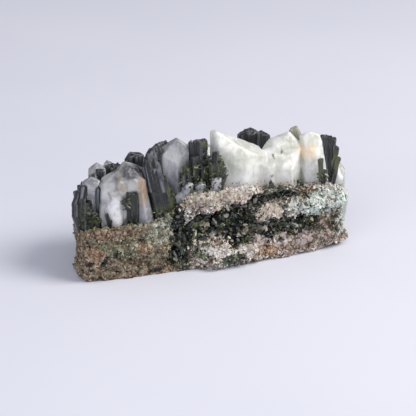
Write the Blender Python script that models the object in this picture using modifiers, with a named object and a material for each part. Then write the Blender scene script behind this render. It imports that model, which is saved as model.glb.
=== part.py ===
"""Epidote cluster: dark epidote blades and quartz crystals on a slab of their rock.

The slab stands on its flat broken base with the crystals pointing up. X runs along
the slab, Y from its broken front face to the back, Z up. Sizes are written in
millimetres and turned to metres by MM. The sketch axes of the tables below have
their zero near the middle of the base, and the finished specimen is moved so that
the middle of its box stands over the origin.
"""

import math
import random

import bmesh
import bpy
import numpy as np
from mathutils import Matrix, Vector, noise
from mathutils.bvhtree import BVHTree

MM = 0.001
GAP = 0.3
SEED = 11

# Slab: profiles as pairs, in mm. The first four run along x, the ends run up z,
# and the bows tell how far an end lies inwards from front (0) to back (1)
FRONT_FACE = [(-37, -14.4), (-30, -15.4), (-13, -15.2), (-8, -15.6), (0, -16.4), (9, -16),
              (20, -14.8), (30, -14.2), (39, -13.4)]
BACK_FACE = [(-37, 8), (-30, 11), (-23, 12.5), (-9, 11.8), (4, 12.8), (18, 11.6), (28, 10.6),
             (35, 8.5), (39, 7)]
FRONT_RIM = [(-37, 12.6), (-33, 14), (-20, 14), (-13.5, 14.8), (-9.8, 19.2), (-5, 20.2),
             (3, 20.8), (9, 19.8), (20, 19.2), (31, 18.5), (36, 17), (39, 15)]
LEFT_END = [(0, -35.2), (3, -36.4), (7, -36.2), (10, -35.4), (15, -35.8)]
RIGHT_END = [(0, 37.6), (2.4, 39.2), (4, 38.4), (6.5, 36.4), (12, 36.6), (16, 37.2), (21, 36)]
LEFT_BOW = [(0, 0.2), (0.3, 0), (0.5, 1.0), (0.8, 4.0), (1, 7.5)]
RIGHT_BOW = [(0, 0.6), (0.3, 0), (0.6, 1.0), (0.85, 3.5), (1, 6.5)]
BACKWARD_FALL = 0.16
SLAB_STEPS = (30, 12, 9)
SLAB_TALL = 20.0
BELOW_BASE = 1.0

# Fracture facets that trim the slab: a point on the plane and its outward normal
FACETS = [
    ((37.0, -13.0, 2.2), (0.28, -0.45, -0.85)),
    ((-33.0, 9.0, 12.0), (-0.5, 0.62, 0.6)),
    ((30.0, 9.5, 12.0), (0.42, 0.7, 0.55)),
    ((0.0, 12.8, 3.0), (0.05, 0.72, -0.69)),
    ((-12.0, 12.0, 15.0), (-0.1, 0.75, 0.65)),
]

# Lumps that swell out of the slab: centre, then half sizes
LUMPS = [
    ((0.5, -14.4, 2.6), (7.5, 5.2, 3.6)),
    ((7.5, -14.2, 2.4), (5.5, 4.0, 3.2)),
    ((-6.4, -13.6, 5.0), (3.2, 2.9, 5.2)),
    ((-29.0, -13.6, 6.5), (5.5, 2.6, 6.0)),
    ((-20.0, -13.6, 7.5), (6.0, 2.4, 5.5)),
    ((-3.5, -13.4, 19.0), (7.0, 3.2, 1.9)),
    ((6.0, -13.6, 18.6), (7.5, 2.8, 1.7)),
    ((25.0, -13.2, 13.4), (13.5, 3.0, 1.7)),
    ((31.0, -12.0, 5.0), (5.6, 3.4, 4.2)),
    ((19.0, -13.2, 2.6), (10.0, 3.4, 2.6)),
    ((-4.0, 11.5, 6.0), (8.0, 3.0, 5.0)),
    ((20.0, 10.6, 7.0), (9.0, 2.6, 5.0)),
    ((-24.0, 10.0, 6.0), (7.0, 3.6, 4.6)),
]

# Small broken pits in the rock: centre and radius
PITS = [
    ((-24.5, -16.6, 4.5), 1.9), ((-30.0, -16.2, 10.0), 1.4), ((-17.0, -16.4, 9.6), 1.5),
    ((-9.0, 12.6, 11.0), 2.4), ((9.0, 13.0, 5.0), 2.2), ((26.0, 11.6, 9.0), 2.0),
    ((-36.6, -5.0, 6.0), 1.8), ((32.0, -15.4, 14.0), 1.2), ((37.8, -2.0, 8.0), 1.7),
]

# Hollows that small crystals line: balls that make the hollow, each a centre,
# half sizes and a lean in degrees
HOLLOWS = {
    "druse_gully": [
        ((-11.0, -15.2, 13.2), (2.1, 5.0, 4.8), -8.0),
        ((-10.2, -15.4, 7.0), (2.5, 5.0, 6.0), -6.0),
        ((-12.2, -15.4, 4.4), (2.4, 4.4, 2.8), 10.0),
    ],
    "druse_front": [
        ((-4.6, -16.4, 11.4), (5.0, 6.4, 3.8), 6.0),
        ((2.6, -16.6, 12.6), (6.4, 7.0, 4.4), 16.0),
        ((6.6, -16.2, 8.4), (4.8, 5.6, 4.2), 30.0),
        ((9.4, -15.8, 16.0), (6.2, 4.8, 2.2), 10.0),
        ((17.2, -15.2, 16.8), (6.0, 4.2, 1.9), 4.0),
        ((14.6, -15.6, 8.8), (6.8, 5.4, 2.9), 2.0),
        ((23.6, -15.2, 8.8), (5.6, 4.6, 2.3), 6.0),
    ],
}
HOLLOW_VOXEL = 0.6
HOLLOW_TRIANGLES = {"druse_gully": 110, "druse_front": 260}
HOLLOW_SWELL = [(3.6, 0.9)]
CRUST_DEPTH = 2.3
CRUST_FRONT = -13.6
CRUST_INSET = 3.0 * GAP
ROOM_INSET = 2.0 * GAP
AIR_INSET = 4.0 * GAP
IN_FRONT = (90.0, 40.0, 50.0)
DRUSE_SPACING = 2.9
DRUSE_JITTER = 0.3
DRUSE_FACING = 0.35
DRUSE_LENGTH = (1.0, 2.1)
DRUSE_WIDTH = (1.7, 2.7)
DRUSE_DEPTH = 0.8
DRUSE_WANDER = ((-0.4, 0.4), (-0.7, -0.7), (-0.2, 0.5))
DRUSE_TURN = (0, 90)
COLUMN_STEP = 17
CRUST_STEP = 400

PIT_SHAPE = (1.2, 1.0, 0.8)
PIT_LEAN = 25.0

ROCK_VOXEL = 1.15
ROCK_TRIANGLES = 1400
ROCK_SWELL = [(7.0, 0.8), (2.8, 0.5)]

FLAT_WITHIN = 3.0

# Crystals: how deep their feet reach into the rock, how far a socket rises over them,
# how much blades of one bundle differ, and the core that fills a bundle
ROOT = 2.2
SOCKET_RISE = 3.0
FOOT_WANDER = 0.35
TIP_WANDER = 0.5
TIP_FALL = 0.7
TIP_RISE = 0.25
BLADE_WIDTHS = (0.85, 1.15)
BLADE_DEPTHS = (0.8, 1.1)
BLADE_TURNS = (0, 40)
BLADE_SLOPES = (18, 40)
BLADE_CORNER_SLOPES = (20, 50)
BLADE_CORNER_SET_BACK = (0.1, 0.3)
BLADE_END_TURN = 30
NARROWEST_CORNER = 0.84
CORE_BELOW = 0.9
CORE_OVER = 0.35
CORE_DEPTH = 0.8
SIDE_GROWN = {"quartz_right_end", "quartz_grey_middle", "quartz_milky"}
QUARTZ_SLOPE = 51.8
QUARTZ_SET_BACK = (0.1, 0.2)
SIDES = 6


def prism(foot, tip, wide, deep, turn=0.0, root=1.0, lean=(0.0, 0.0), ends=None):
    """One straight crystal, in mm: where its middle leaves the rock, its tip, its width
    and depth, its turn about its length in degrees, the share of its width that it has
    at the foot, how far the tip sits off the middle, as shares, and the planes that end
    it, each a direction round the length in degrees, a slope and a set-back share."""
    return dict(
        foot=Vector(foot), tip=Vector(tip), wide=wide, deep=deep, turn=turn, root=root,
        lean=lean, ends=ends,
    )


def bent(path, wide, deep, slant=0.0, end=0.85):
    """One curved crystal, in mm: the points that its middle runs through, its width and
    depth, how much its end rises across its width, and the share of its width there."""
    points = [Vector(place) for place in path]
    return dict(foot=points[0], path=points, wide=wide, deep=deep, slant=slant, end=end)


def core(first, last, wide, deep):
    """The flat crystal that fills the middle of a bundle, up to just under its tips."""
    feet = Vector(last[0]) - Vector(first[0])
    tips = Vector(last[1]) - Vector(first[1])
    foot = (Vector(first[0]) + Vector(last[0])) / 2
    tip = (Vector(first[1]) + Vector(last[1])) / 2 - Vector((0, 0, CORE_BELOW))
    across = math.hypot(tips.x, tips.y)
    width = across + CORE_OVER * wide
    root = (math.hypot(feet.x, feet.y) + CORE_OVER * wide) / width
    turn = math.degrees(math.atan2(tips.y, tips.x))
    falls_to = turn if tips.z < 0 else turn + 180
    slope = math.degrees(math.atan2(abs(tips.z), across))
    end = [(falls_to, slope, 0.0)]
    return prism(foot, tip, width, CORE_DEPTH * deep, turn, root, (0.0, 0.0), end)


def fan(first, last, count, wide, deep, seed):
    """Blades side by side, whose feet and tips run from one pair of points to another."""
    draw = random.Random(seed)
    blades = [core(first, last, wide, deep)] if count > 2 else []
    for index in range(count):
        share = index / max(1, count - 1)
        foot = Vector(first[0]).lerp(Vector(last[0]), share)
        tip = Vector(first[1]).lerp(Vector(last[1]), share)
        foot.y += draw.uniform(-FOOT_WANDER, FOOT_WANDER)
        tip.y += draw.uniform(-TIP_WANDER, TIP_WANDER)
        tip.z += draw.uniform(-TIP_FALL, TIP_RISE)
        width = wide * draw.uniform(*BLADE_WIDTHS)
        depth = deep * draw.uniform(*BLADE_DEPTHS)
        blades.append(prism(foot, tip, width, depth, draw.uniform(*BLADE_TURNS)))
    return blades


# Epidote: flattened blades with blunt wedge ends, grown side by side into bundles
EPIDOTE = {
    "epidote_left_fan": [
        bent([(-34.5, -7.2, 11.6), (-35.6, -7.0, 15.6), (-35.5, -6.6, 18.6), (-34.5, -6.0, 21.0)],
             2.2, 3.4, -0.5),
        bent([(-33.4, -7.6, 11.8), (-34.3, -7.2, 16.4), (-34.0, -6.6, 20.0), (-33.2, -5.8, 22.6)],
             2.3, 3.6, 0.3),
        bent([(-32.2, -7.6, 11.8), (-32.9, -7.6, 14.4), (-33.1, -7.4, 16.8), (-32.9, -7.2, 19.0)],
             2.3, 3.4, 0.4),
        prism((-33.4, -9.2, 12.0), (-33.5, -9.2, 17.8), 2.4, 2.2, 0),
        prism((-31.9, -9.8, 12.2), (-32.0, -9.8, 17.0), 2.4, 2.2, 8),
        prism((-30.9, -10.4, 12.2), (-31.2, -10.4, 15.0), 1.8, 1.8, 20),
    ],
    "epidote_seam": [prism((-30.4, -8.7, 12.4), (-29.9, -8.0, 22.6), 1.2, 2.0, 10)],
    "epidote_left_tip": fan(
        ((-30.0, -2.6, 12.4), (-29.6, -2.4, 25.0)),
        ((-28.0, -2.4, 12.4), (-27.4, -2.2, 26.2)), 2, 2.4, 2.2, 3),
    "epidote_back_tip": fan(
        ((-24.8, 0.4, 13.4), (-24.2, 0.8, 26.0)),
        ((-23.0, 0.8, 13.2), (-22.3, 1.2, 25.5)), 2, 2.9, 3.2, 4),
    "epidote_in_quartz": [
        prism((-22.9, -12.1, 12.8), (-22.9, -12.0, 22.2), 1.7, 1.9, 12),
        prism((-21.7, -12.1, 12.8), (-21.6, -12.0, 21.9), 1.7, 2.0, 30),
        prism((-22.6, -12.2, 17.2), (-24.6, -12.4, 20.4), 2.0, 1.7, 0),
    ],
    "epidote_behind_clear": [
        prism((-18.0, -0.2, 13.6), (-17.9, 0.0, 28.0), 5.8, 4.6, 4, 1.0, (0.0, 0.0),
              [(175, 48, 0.18), (-5, 10, 0.02), (-92, 14, 0.03)]),
    ],
    "epidote_crescent": [
        bent([(-15.2, -10.4, 15.0), (-16.5, -10.0, 21.0), (-17.4, -9.0, 26.6),
              (-16.9, -8.4, 29.2), (-15.7, -8.0, 30.9), (-13.9, -7.6, 32.0), (-11.4, -7.0, 32.5)],
             2.2, 3.6, 0.3, 0.5),
        bent([(-13.9, -10.9, 15.0), (-15.0, -10.3, 21.0), (-16.0, -9.4, 26.0),
              (-15.7, -8.8, 28.4), (-14.6, -8.4, 30.0), (-13.0, -7.9, 31.3)], 2.3, 3.2, 0.2),
        bent([(-12.6, -11.1, 15.2), (-13.6, -10.7, 20.6), (-14.7, -9.9, 25.2),
              (-14.7, -9.2, 28.2)], 2.2, 3.0, 0.5),
        bent([(-11.6, -11.3, 15.6), (-12.3, -10.9, 19.8), (-13.4, -10.3, 24.2)], 2.0, 2.6, 0.5),
        bent([(-10.9, -11.5, 16.0), (-11.3, -11.3, 18.6), (-12.0, -11.1, 21.2)], 1.6, 2.0, 0.5),
    ],
    "epidote_block": (
        fan(((-5.2, -10.0, 18.0), (-5.0, -9.6, 33.3)),
            ((-1.6, -9.4, 17.6), (-2.0, -9.2, 33.4)), 4, 2.0, 2.8, 8)
        + fan(((-6.2, -10.9, 18.6), (-7.2, -10.8, 27.2)),
              ((-4.6, -11.2, 18.6), (-5.4, -11.2, 29.6)), 2, 2.0, 2.0, 9)
        + [
            prism((-7.4, -11.4, 18.4), (-8.4, -11.5, 25.4), 2.0, 1.8, 10),
            prism((-0.8, -9.8, 18.0), (-0.5, -9.6, 28.6), 2.2, 2.4, 20),
            prism((-2.6, -11.2, 18.8), (-2.6, -11.2, 26.4), 2.0, 1.8, 0),
        ]
    ),
    "epidote_spray": [
        prism((-0.4, -12.6, 19.0), (0.2, -12.2, 30.4), 1.5, 1.4, 0, 1.5),
        prism((-0.8, -12.6, 19.0), (-0.9, -12.3, 27.4), 1.6, 1.5, 20),
        prism((0.2, -12.8, 19.0), (1.2, -12.7, 27.2), 2.0, 1.7, 10),
        prism((0.6, -12.8, 19.2), (2.2, -13.0, 26.2), 2.0, 1.7, 35),
        prism((0.6, -12.9, 19.2), (2.4, -13.2, 24.2), 1.8, 1.6, 60),
    ],
    "epidote_top_block": [
        prism((15.0, 1.6, 16.0), (15.0, 1.8, 30.9), 8.4, 4.4, 0, 1.0, (0.04, 0.0),
              [(180, 25, 0.0), (0, 30, 0.0), (-90, 36, 0.0), (90, 30, 0.05)]),
        prism((19.0, 2.6, 16.0), (19.2, 2.8, 29.2), 4.0, 3.4, 8, 1.0, (0.0, 0.0),
              [(175, 24, 0.02), (0, 34, 0.02), (-90, 30, 0.0)]),
    ],
    "epidote_small_prism": [
        prism((28.8, -1.2, 15.4), (28.5, -1.0, 26.6), 1.7, 2.0, 20),
        prism((29.6, -0.2, 24.0), (26.4, -0.5, 30.4), 3.0, 2.4, 10, 1.0, (0.0, 0.0),
              [(90, 8, 0.0), (-90, 12, 0.0)]),
    ],
    "epidote_right_fan": [
        prism((33.9, -7.5, 14.6), (32.2, -7.4, 30.0), 2.4, 2.8, 10, 0.7),
        prism((34.1, -7.2, 14.6), (33.8, -7.0, 29.5), 2.4, 2.8, 25, 0.7),
        prism((34.3, -6.9, 14.6), (35.2, -6.6, 28.8), 2.3, 2.6, 5, 0.7),
        prism((34.3, -7.6, 14.8), (36.1, -7.2, 26.6), 2.2, 2.4, 20, 0.7),
        prism((34.4, -8.1, 14.8), (36.6, -7.7, 23.6), 1.9, 2.1, 35, 0.7),
    ],
    "epidote_sliver": [
        prism((-28.0, -12.4, 12.8), (-29.3, -12.6, 17.4), 1.0, 1.0, 25),
        prism((-28.4, -12.2, 12.8), (-28.2, -12.3, 15.4), 1.0, 1.0, 60),
    ],
    "epidote_green_tip": [
        prism((30.0, -12.2, 17.4), (29.3, -12.4, 25.2), 1.6, 1.4, 25),
        prism((30.6, -12.4, 17.4), (30.6, -12.6, 22.2), 1.3, 1.2, 50),
    ],
    "epidote_back_left": fan(
        ((-31.4, 2.6, 11.8), (-32.4, 3.2, 18.6)),
        ((-29.0, 5.2, 11.4), (-29.0, 7.6, 20.0)), 3, 2.8, 2.4, 12),
    "epidote_back_middle": fan(
        ((-9.4, 7.4, 15.4), (-12.0, 9.6, 22.4)),
        ((-3.6, 6.0, 16.2), (-2.8, 8.2, 26.6)), 4, 3.0, 2.8, 13),
    "epidote_back_right": fan(
        ((21.4, 7.0, 15.0), (20.2, 9.2, 22.0)),
        ((27.4, 4.8, 15.0), (29.4, 6.2, 24.4)), 4, 2.9, 2.6, 14),
}

# Quartz: six-sided prisms with steep uneven pyramid ends, and the blunt end of small ones
BLUNT_END = [(-95, 42, 0.04), (40, 34, 0.02), (160, 38, 0.0), (90, 40, 0.1)]
QUARTZ = {
    "quartz_grey_left": [
        prism((-31.2, -6.2, 11.4), (-31.0, -5.6, 25.0), 5.0, 4.8, 12, 1.0, (0.0, 0.0),
              [(-100, 56, 0.1), (180, 30, 0.0), (0, 26, 0.0), (90, 50, 0.1)]),
    ],
    "quartz_left_tip": [
        prism((-28.2, 0.4, 12.6), (-27.3, 1.0, 26.2), 5.0, 4.8, 5, 1.0, (0.0, 0.1),
              [(-90, 50, 0.1), (180, 40, 0.02), (0, 34, 0.0), (60, 50, 0.1), (120, 50, 0.1)]),
    ],
    "quartz_clear_pair": [
        prism((-26.8, -8.4, 11.8), (-25.4, -7.6, 27.2), 8.6, 7.4, 6, 1.14, (0.2, 0.05),
              [(-100, 60, 0.0), (190, 38, 0.0), (-40, 50, 0.1), (30, 50, 0.05), (95, 55, 0.1)]),
        prism((-19.6, -8.4, 11.8), (-21.2, -7.2, 28.6), 7.8, 7.4, 12, 1.42, (-0.16, 0.08),
              [(-110, 62, 0.0), (-170, 45, 0.02), (-50, 46, 0.05), (0, 21, 0.0), (60, 50, 0.1),
               (120, 52, 0.1)]),
    ],
    "quartz_grey_middle": [
        prism((-9.6, -7.2, 15.6), (-9.4, -6.8, 33.2), 10.2, 8.0, 4, 0.72, (0.1, 0.0),
              [(-95, 62, 0.10), (178, 35, 0.0), (-150, 40, 0.05), (0, 36, 0.0),
               (-30, 42, 0.05), (90, 50, 0.08)]),
    ],
    "quartz_small_left": [
        prism((-7.6, -12.2, 17.4), (-7.7, -12.4, 23.0), 3.2, 2.8, 10, 1.0, (0.1, 0.0), BLUNT_END),
        prism((-9.6, -12.0, 16.6), (-9.9, -12.2, 20.4), 2.6, 2.4, 30, 1.0, (0.0, 0.0), BLUNT_END),
    ],
    "quartz_milky": [
        prism((8.4, -6.8, 16.2), (8.4, -6.6, 34.2), 15.4, 11.0, 2, 1.03, (-0.40, 0.02),
              [(-92, 58, 0.10), (-150, 46, 0.03), (176, 42, 0.0), (-30, 32, 0.01),
               (2, 26, 0.0), (60, 42, 0.06), (120, 48, 0.1)]),
        prism((20.4, -6.8, 16.2), (21.0, -6.4, 31.2), 10.4, 9.6, 14, 1.12, (0.26, 0.05),
              [(-95, 56, 0.05), (-150, 34, 0.02), (180, 27, 0.0), (-35, 46, 0.0), (5, 48, 0.0),
               (90, 48, 0.08)]),
        prism((29.5, -7.8, 15.6), (28.3, -7.6, 31.3), 4.3, 5.1, 4, 2.05, (0.0, 0.0),
              [(-92, 56, 0.0), (178, 22, 0.0), (0, 24, 0.0), (90, 45, 0.1)]),
        prism((15.8, -7.4, 16.2), (15.6, -7.2, 27.6), 5.6, 7.6, 10, 1.1, (0.0, 0.0),
              [(-92, 50, 0.0), (178, 20, 0.0), (0, 12, 0.0), (90, 40, 0.1)]),
    ],
    "quartz_small_right": [
        prism((-0.1, -13.4, 19.2), (-0.1, -13.6, 24.0), 3.2, 2.6, 20, 1.0, (0.0, 0.0), BLUNT_END),
    ],
    "quartz_small_middle": [
        prism((-4.2, -13.0, 19.0), (-4.3, -13.2, 23.0), 3.0, 2.4, 5, 1.0, (0.1, 0.0), BLUNT_END),
    ],
    "quartz_right_end": [
        prism((36.4, -5.4, 9.6), (37.2, -5.2, 21.6), 5.0, 6.6, 10, 1.06, (0.05, 0.0)),
        prism((36.9, -8.6, 8.2), (38.0, -8.4, 15.2), 3.8, 4.2, 30, 1.0, (0.0, 0.0)),
    ],
    "quartz_back_left": [
        prism((-22.0, 6.4, 12.0), (-22.8, 9.0, 24.0), 6.6, 6.0, 15, 1.1, (0.1, 0.1)),
        prism((-16.6, 7.2, 12.2), (-15.2, 9.6, 21.4), 5.2, 5.0, 35, 1.05),
        prism((-26.2, 6.0, 12.0), (-27.4, 7.6, 19.6), 4.2, 4.4, 0),
    ],
    "quartz_back_middle": [
        prism((3.6, 4.0, 15.8), (3.2, 5.4, 28.2), 7.6, 6.8, 5, 1.1, (-0.1, 0.1)),
        prism((9.4, 6.4, 15.0), (10.6, 8.8, 24.2), 6.2, 5.4, 25, 1.1, (0.1, 0.0)),
        prism((-1.0, 1.2, 17.0), (-1.6, 1.6, 29.6), 6.0, 5.6, 40, 1.1),
    ],
    "quartz_back_right": [
        prism((31.6, 2.0, 14.4), (33.2, 3.0, 24.6), 6.0, 5.8, 18, 1.1, (0.0, 0.1)),
        prism((35.0, 0.6, 13.6), (36.8, 0.8, 20.4), 4.0, 4.2, 40),
    ],
    "quartz_back_centre": [
        prism((9.6, 0.6, 16.6), (9.2, 0.8, 27.8), 5.6, 5.0, 15, 1.1),
        prism((6.4, -0.6, 16.6), (6.0, -0.4, 25.6), 4.6, 4.0, 40, 1.1),
    ],
    "quartz_back_tip": [
        prism((-12.6, 2.0, 14.8), (-12.0, 2.6, 27.4), 6.4, 6.0, 8, 1.1, (0.1, 0.0)),
        prism((-9.6, 1.0, 15.2), (-9.0, 1.2, 24.6), 4.4, 4.4, 25, 1.1),
    ],
}


def material(name, colour, roughness):
    made = bpy.data.materials.new(name)
    made.use_nodes = True
    shader = made.node_tree.nodes["Principled BSDF"]
    shader.inputs["Base Color"].default_value = (*colour, 1.0)
    shader.inputs["Roughness"].default_value = roughness
    return made


def clear_scene():
    for old in list(bpy.data.objects):
        bpy.data.objects.remove(old, do_unlink=True)


def new_object(name, mesh, collection):
    made = bpy.data.objects.new(name, mesh)
    collection.objects.link(made)
    return made


def mesh_of(shape, name):
    """A mesh from a bmesh, with its faces pointing out."""
    bmesh.ops.recalc_face_normals(shape, faces=shape.faces)
    if shape.calc_volume(signed=True) < 0:
        bmesh.ops.reverse_faces(shape, faces=shape.faces)
    mesh = bpy.data.meshes.new(name)
    shape.to_mesh(mesh)
    shape.free()
    return mesh


def settle(subject):
    """Replaces an object's mesh with what its modifiers make of it."""
    bpy.context.view_layer.update()
    graph = bpy.context.evaluated_depsgraph_get()
    made = bpy.data.meshes.new_from_object(subject.evaluated_get(graph))
    subject.modifiers.clear()
    subject.data = made


def boolean(subject, operation, other):
    """Applies one Boolean; the solver is the one that copes with crossing faces."""
    step = subject.modifiers.new(operation.lower(), "BOOLEAN")
    step.operation = operation
    step.solver = "EXACT"
    step.object = other
    settle(subject)


def island_of(start, unseen):
    """The points that edges join to one point, taken out of the unseen ones."""
    unseen.remove(start)
    island = {start}
    waiting = [start]
    while waiting:
        for edge in waiting.pop().link_edges:
            for other in edge.verts:
                if other in unseen:
                    unseen.remove(other)
                    island.add(other)
                    waiting.append(other)
    return island


def box_size(island):
    places = np.array([corner.co for corner in island])
    return float(np.prod(places.max(axis=0) - places.min(axis=0)))


def keep_largest(subject):
    """Drops the chips that a cut leaves loose."""
    shape = bmesh.new()
    shape.from_mesh(subject.data)
    unseen = set(shape.verts)
    islands = []
    while unseen:
        islands.append(island_of(next(iter(unseen)), unseen))
    largest = max(islands, key=box_size)
    loose = [corner for island in islands if island is not largest for corner in island]
    bmesh.ops.delete(shape, geom=loose, context="VERTS")
    shape.to_mesh(subject.data)
    shape.free()


def fewer_faces(subject):
    """Merges the flat fragments that the cuts leave, and makes triangles of the rest."""
    shape = bmesh.new()
    shape.from_mesh(subject.data)
    bmesh.ops.dissolve_limit(
        shape, angle_limit=math.radians(FLAT_WITHIN), verts=shape.verts, edges=shape.edges
    )
    bmesh.ops.triangulate(shape, faces=shape.faces)
    shape.to_mesh(subject.data)
    shape.free()


def cut_by_plane(shape, point, normal):
    """Removes what lies outside a plane and closes the cut with a face."""
    everything = shape.verts[:] + shape.edges[:] + shape.faces[:]
    cut = bmesh.ops.bisect_plane(
        shape, geom=everything, plane_co=point, plane_no=normal, clear_outer=True
    )
    rim = [item for item in cut["geom_cut"] if isinstance(item, bmesh.types.BMEdge)]
    if rim:
        bmesh.ops.contextual_create(shape, geom=rim)


def stick_frame(foot, tip, turn):
    """The place of a crystal: its own Z from foot to tip, turned about its length."""
    along = (tip - foot).normalized()
    side = Vector((1, 0, 0)) - along * along.x
    side.normalize()
    upright = Matrix((side, along.cross(side), along)).transposed().to_4x4()
    return Matrix.Translation(foot) @ upright @ Matrix.Rotation(math.radians(turn), 4, "Z")


def stick(spec, is_quartz, number, grow=0.0):
    """A crystal as a bmesh in sketch mm: a prism whose end is cut by its planes."""
    foot, tip = spec["foot"], spec["tip"]
    length = (tip - foot).length
    wide = spec["wide"] + 2 * grow
    deep = spec["deep"] + 2 * grow
    root = ROOT + grow
    draw = random.Random(SEED + number)
    shape = bmesh.new()
    bmesh.ops.create_cone(
        shape, cap_ends=True, segments=SIDES, radius1=0.5, radius2=0.5, depth=1.0
    )
    over = length + wide
    uneven = [1.0 if is_quartz else draw.uniform(NARROWEST_CORNER, 1.0) for _ in range(SIDES)]
    for corner in shape.verts:
        low = corner.co.z < 0
        side = round(math.atan2(corner.co.y, corner.co.x) / math.tau * SIDES) % SIDES
        share = (spec["root"] if low else 1.0) * uneven[side]
        corner.co.x *= wide * share
        corner.co.y *= deep * share
        corner.co.z = -root if low else over
    ends = spec["ends"]
    if ends is None:
        ends = quartz_ends(draw) if is_quartz else blade_ends(draw)
    apex = Vector((spec["lean"][0] * spec["wide"], spec["lean"][1] * spec["deep"], length))
    turned = math.radians(spec["turn"])
    for round_length, slope, set_back in ends:
        heading = math.radians(round_length) - turned
        steep = math.radians(slope)
        normal = Vector(
            (math.cos(heading) * math.sin(steep), math.sin(heading) * math.sin(steep), math.cos(steep))
        )
        point = apex + Vector((0, 0, set_back * spec["wide"])) + normal * grow
        cut_by_plane(shape, point, normal)
    shape.transform(stick_frame(foot, tip, spec["turn"]))
    return shape


def curved_stick(spec, grow=0.0):
    """A curved crystal as a bmesh in sketch mm: rings along its path, closed at both ends."""
    path = spec["path"]
    last = len(path) - 1
    shape = bmesh.new()
    rings = []
    for index, place in enumerate(path):
        along = (path[min(last, index + 1)] - path[max(0, index - 1)]).normalized()
        side = (Vector((1, 0, 0)) - along * along.x).normalized()
        front = along.cross(side)
        middle = place - along * (ROOT + grow) if index == 0 else place
        rise = spec["slant"] if index == last else 0.0
        if index == last:
            middle = place + along * grow
        share = 1 - (1 - spec["end"]) * (index / last) ** 2
        ring = []
        for number in range(SIDES):
            angle = math.tau * number / SIDES
            x = (share * spec["wide"] / 2 + grow) * math.cos(angle)
            y = (share * spec["deep"] / 2 + grow) * math.sin(angle)
            ring.append(shape.verts.new(middle + side * x + front * y + along * (rise * x)))
        rings.append(ring)
    for lower, upper in zip(rings, rings[1:]):
        for number in range(SIDES):
            after = (number + 1) % SIDES
            shape.faces.new((lower[number], lower[after], upper[after], upper[number]))
    shape.faces.new(rings[0][::-1])
    shape.faces.new(rings[-1])
    bmesh.ops.triangulate(shape, faces=shape.faces)
    return shape


def quartz_ends(draw):
    """Six pyramid faces at the slope that quartz has, three of them set back."""
    turn = draw.uniform(0, 60)
    return [
        (turn + 60 * side, QUARTZ_SLOPE, draw.uniform(*QUARTZ_SET_BACK) if side % 2 else 0.0)
        for side in range(6)
    ]


def blade_ends(draw):
    """The two faces of a blunt wedge end, and one that trims its corner."""
    turn = draw.uniform(-BLADE_END_TURN, BLADE_END_TURN)
    wedge = [(side + turn, draw.uniform(*BLADE_SLOPES), 0.0) for side in (90, -90)]
    corner = draw.choice((0, 180)) + turn
    slope = draw.uniform(*BLADE_CORNER_SLOPES)
    return [*wedge, (corner, slope, draw.uniform(*BLADE_CORNER_SET_BACK))]


def joined(shapes, name, collection):
    """Overlapping closed shapes joined in one solid."""
    first = new_object(name, mesh_of(shapes[0], name), collection)
    for index, shape in enumerate(shapes[1:]):
        other = new_object(f"{name}_join_{index}", mesh_of(shape, name), collection)
        boolean(first, "UNION", other)
        bpy.data.objects.remove(other, do_unlink=True)
    return first


def crystals(name, specs, is_quartz, collection, grow=0.0):
    """One group of crystals, joined where they cross."""
    shapes = [
        curved_stick(spec, grow) if "path" in spec
        else stick(spec, is_quartz, len(name) * 10 + index, grow)
        for index, spec in enumerate(specs)
    ]
    return joined(shapes, f"{name}_grown" if grow else name, collection)


def boxes_meet(first, second):
    ends = []
    for item in (first, second):
        corners = np.array([corner.co for corner in item.data.vertices])
        ends.append((corners.min(axis=0), corners.max(axis=0)))
    return bool(np.all(ends[0][0] <= ends[1][1]) and np.all(ends[1][0] <= ends[0][1]))


def carve(subject, cutters):
    """Takes the grown shapes of its neighbours out of an object, which leaves the gap."""
    for cutter in cutters:
        if boxes_meet(subject, cutter):
            boolean(subject, "DIFFERENCE", cutter)
    keep_largest(subject)
    fewer_faces(subject)


def socket(grown, specs, collection):
    """The plain hole that a group of crystals stands in: the hull of its grown roots."""
    shape = bmesh.new()
    shape.from_mesh(grown.data)
    top = max(spec["foot"].z for spec in specs) + SOCKET_RISE
    cut_by_plane(shape, Vector((0, 0, top)), Vector((0, 0, 1)))
    points = [corner.co.copy() for corner in shape.verts]
    shape.free()
    skin = bmesh.new()
    for point in points:
        skin.verts.new(point)
    hull = bmesh.ops.convex_hull(skin, input=skin.verts)
    inner = [item for item in hull["geom_interior"] if isinstance(item, bmesh.types.BMVert)]
    bmesh.ops.delete(skin, geom=inner, context="VERTS")
    return new_object(f"{grown.name}_socket", mesh_of(skin, "socket"), collection)


def along_profile(profile, place):
    return float(np.interp(place, [p[0] for p in profile], [p[1] for p in profile]))


def slab_shape():
    """The slab before it is broken and roughened: a cube pulled to the profiles."""
    shape = bmesh.new()
    bmesh.ops.create_cube(shape, size=1.0)
    for axis, steps in enumerate(SLAB_STEPS):
        spans = [
            edge for edge in shape.edges
            if abs(edge.verts[0].co[axis] - edge.verts[1].co[axis]) > 0.9
        ]
        bmesh.ops.subdivide_edges(shape, edges=spans, cuts=steps, use_grid_fill=True)
    for corner in shape.verts:
        u, v, w = corner.co.x + 0.5, corner.co.y + 0.5, corner.co.z + 0.5
        tall = SLAB_TALL * w
        left = along_profile(LEFT_END, tall) + along_profile(LEFT_BOW, v)
        right = along_profile(RIGHT_END, tall) - along_profile(RIGHT_BOW, v)
        x = (1 - u) * left + u * right
        front = along_profile(FRONT_FACE, x)
        y = (1 - v) * front + v * along_profile(BACK_FACE, x)
        top = along_profile(FRONT_RIM, x) - BACKWARD_FALL * (y - front)
        corner.co = (x, y, -BELOW_BASE + w * (top + BELOW_BASE))
    for point, normal in FACETS:
        cut_by_plane(shape, Vector(point), Vector(normal).normalized())
    bmesh.ops.triangulate(shape, faces=shape.faces)
    return shape


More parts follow.
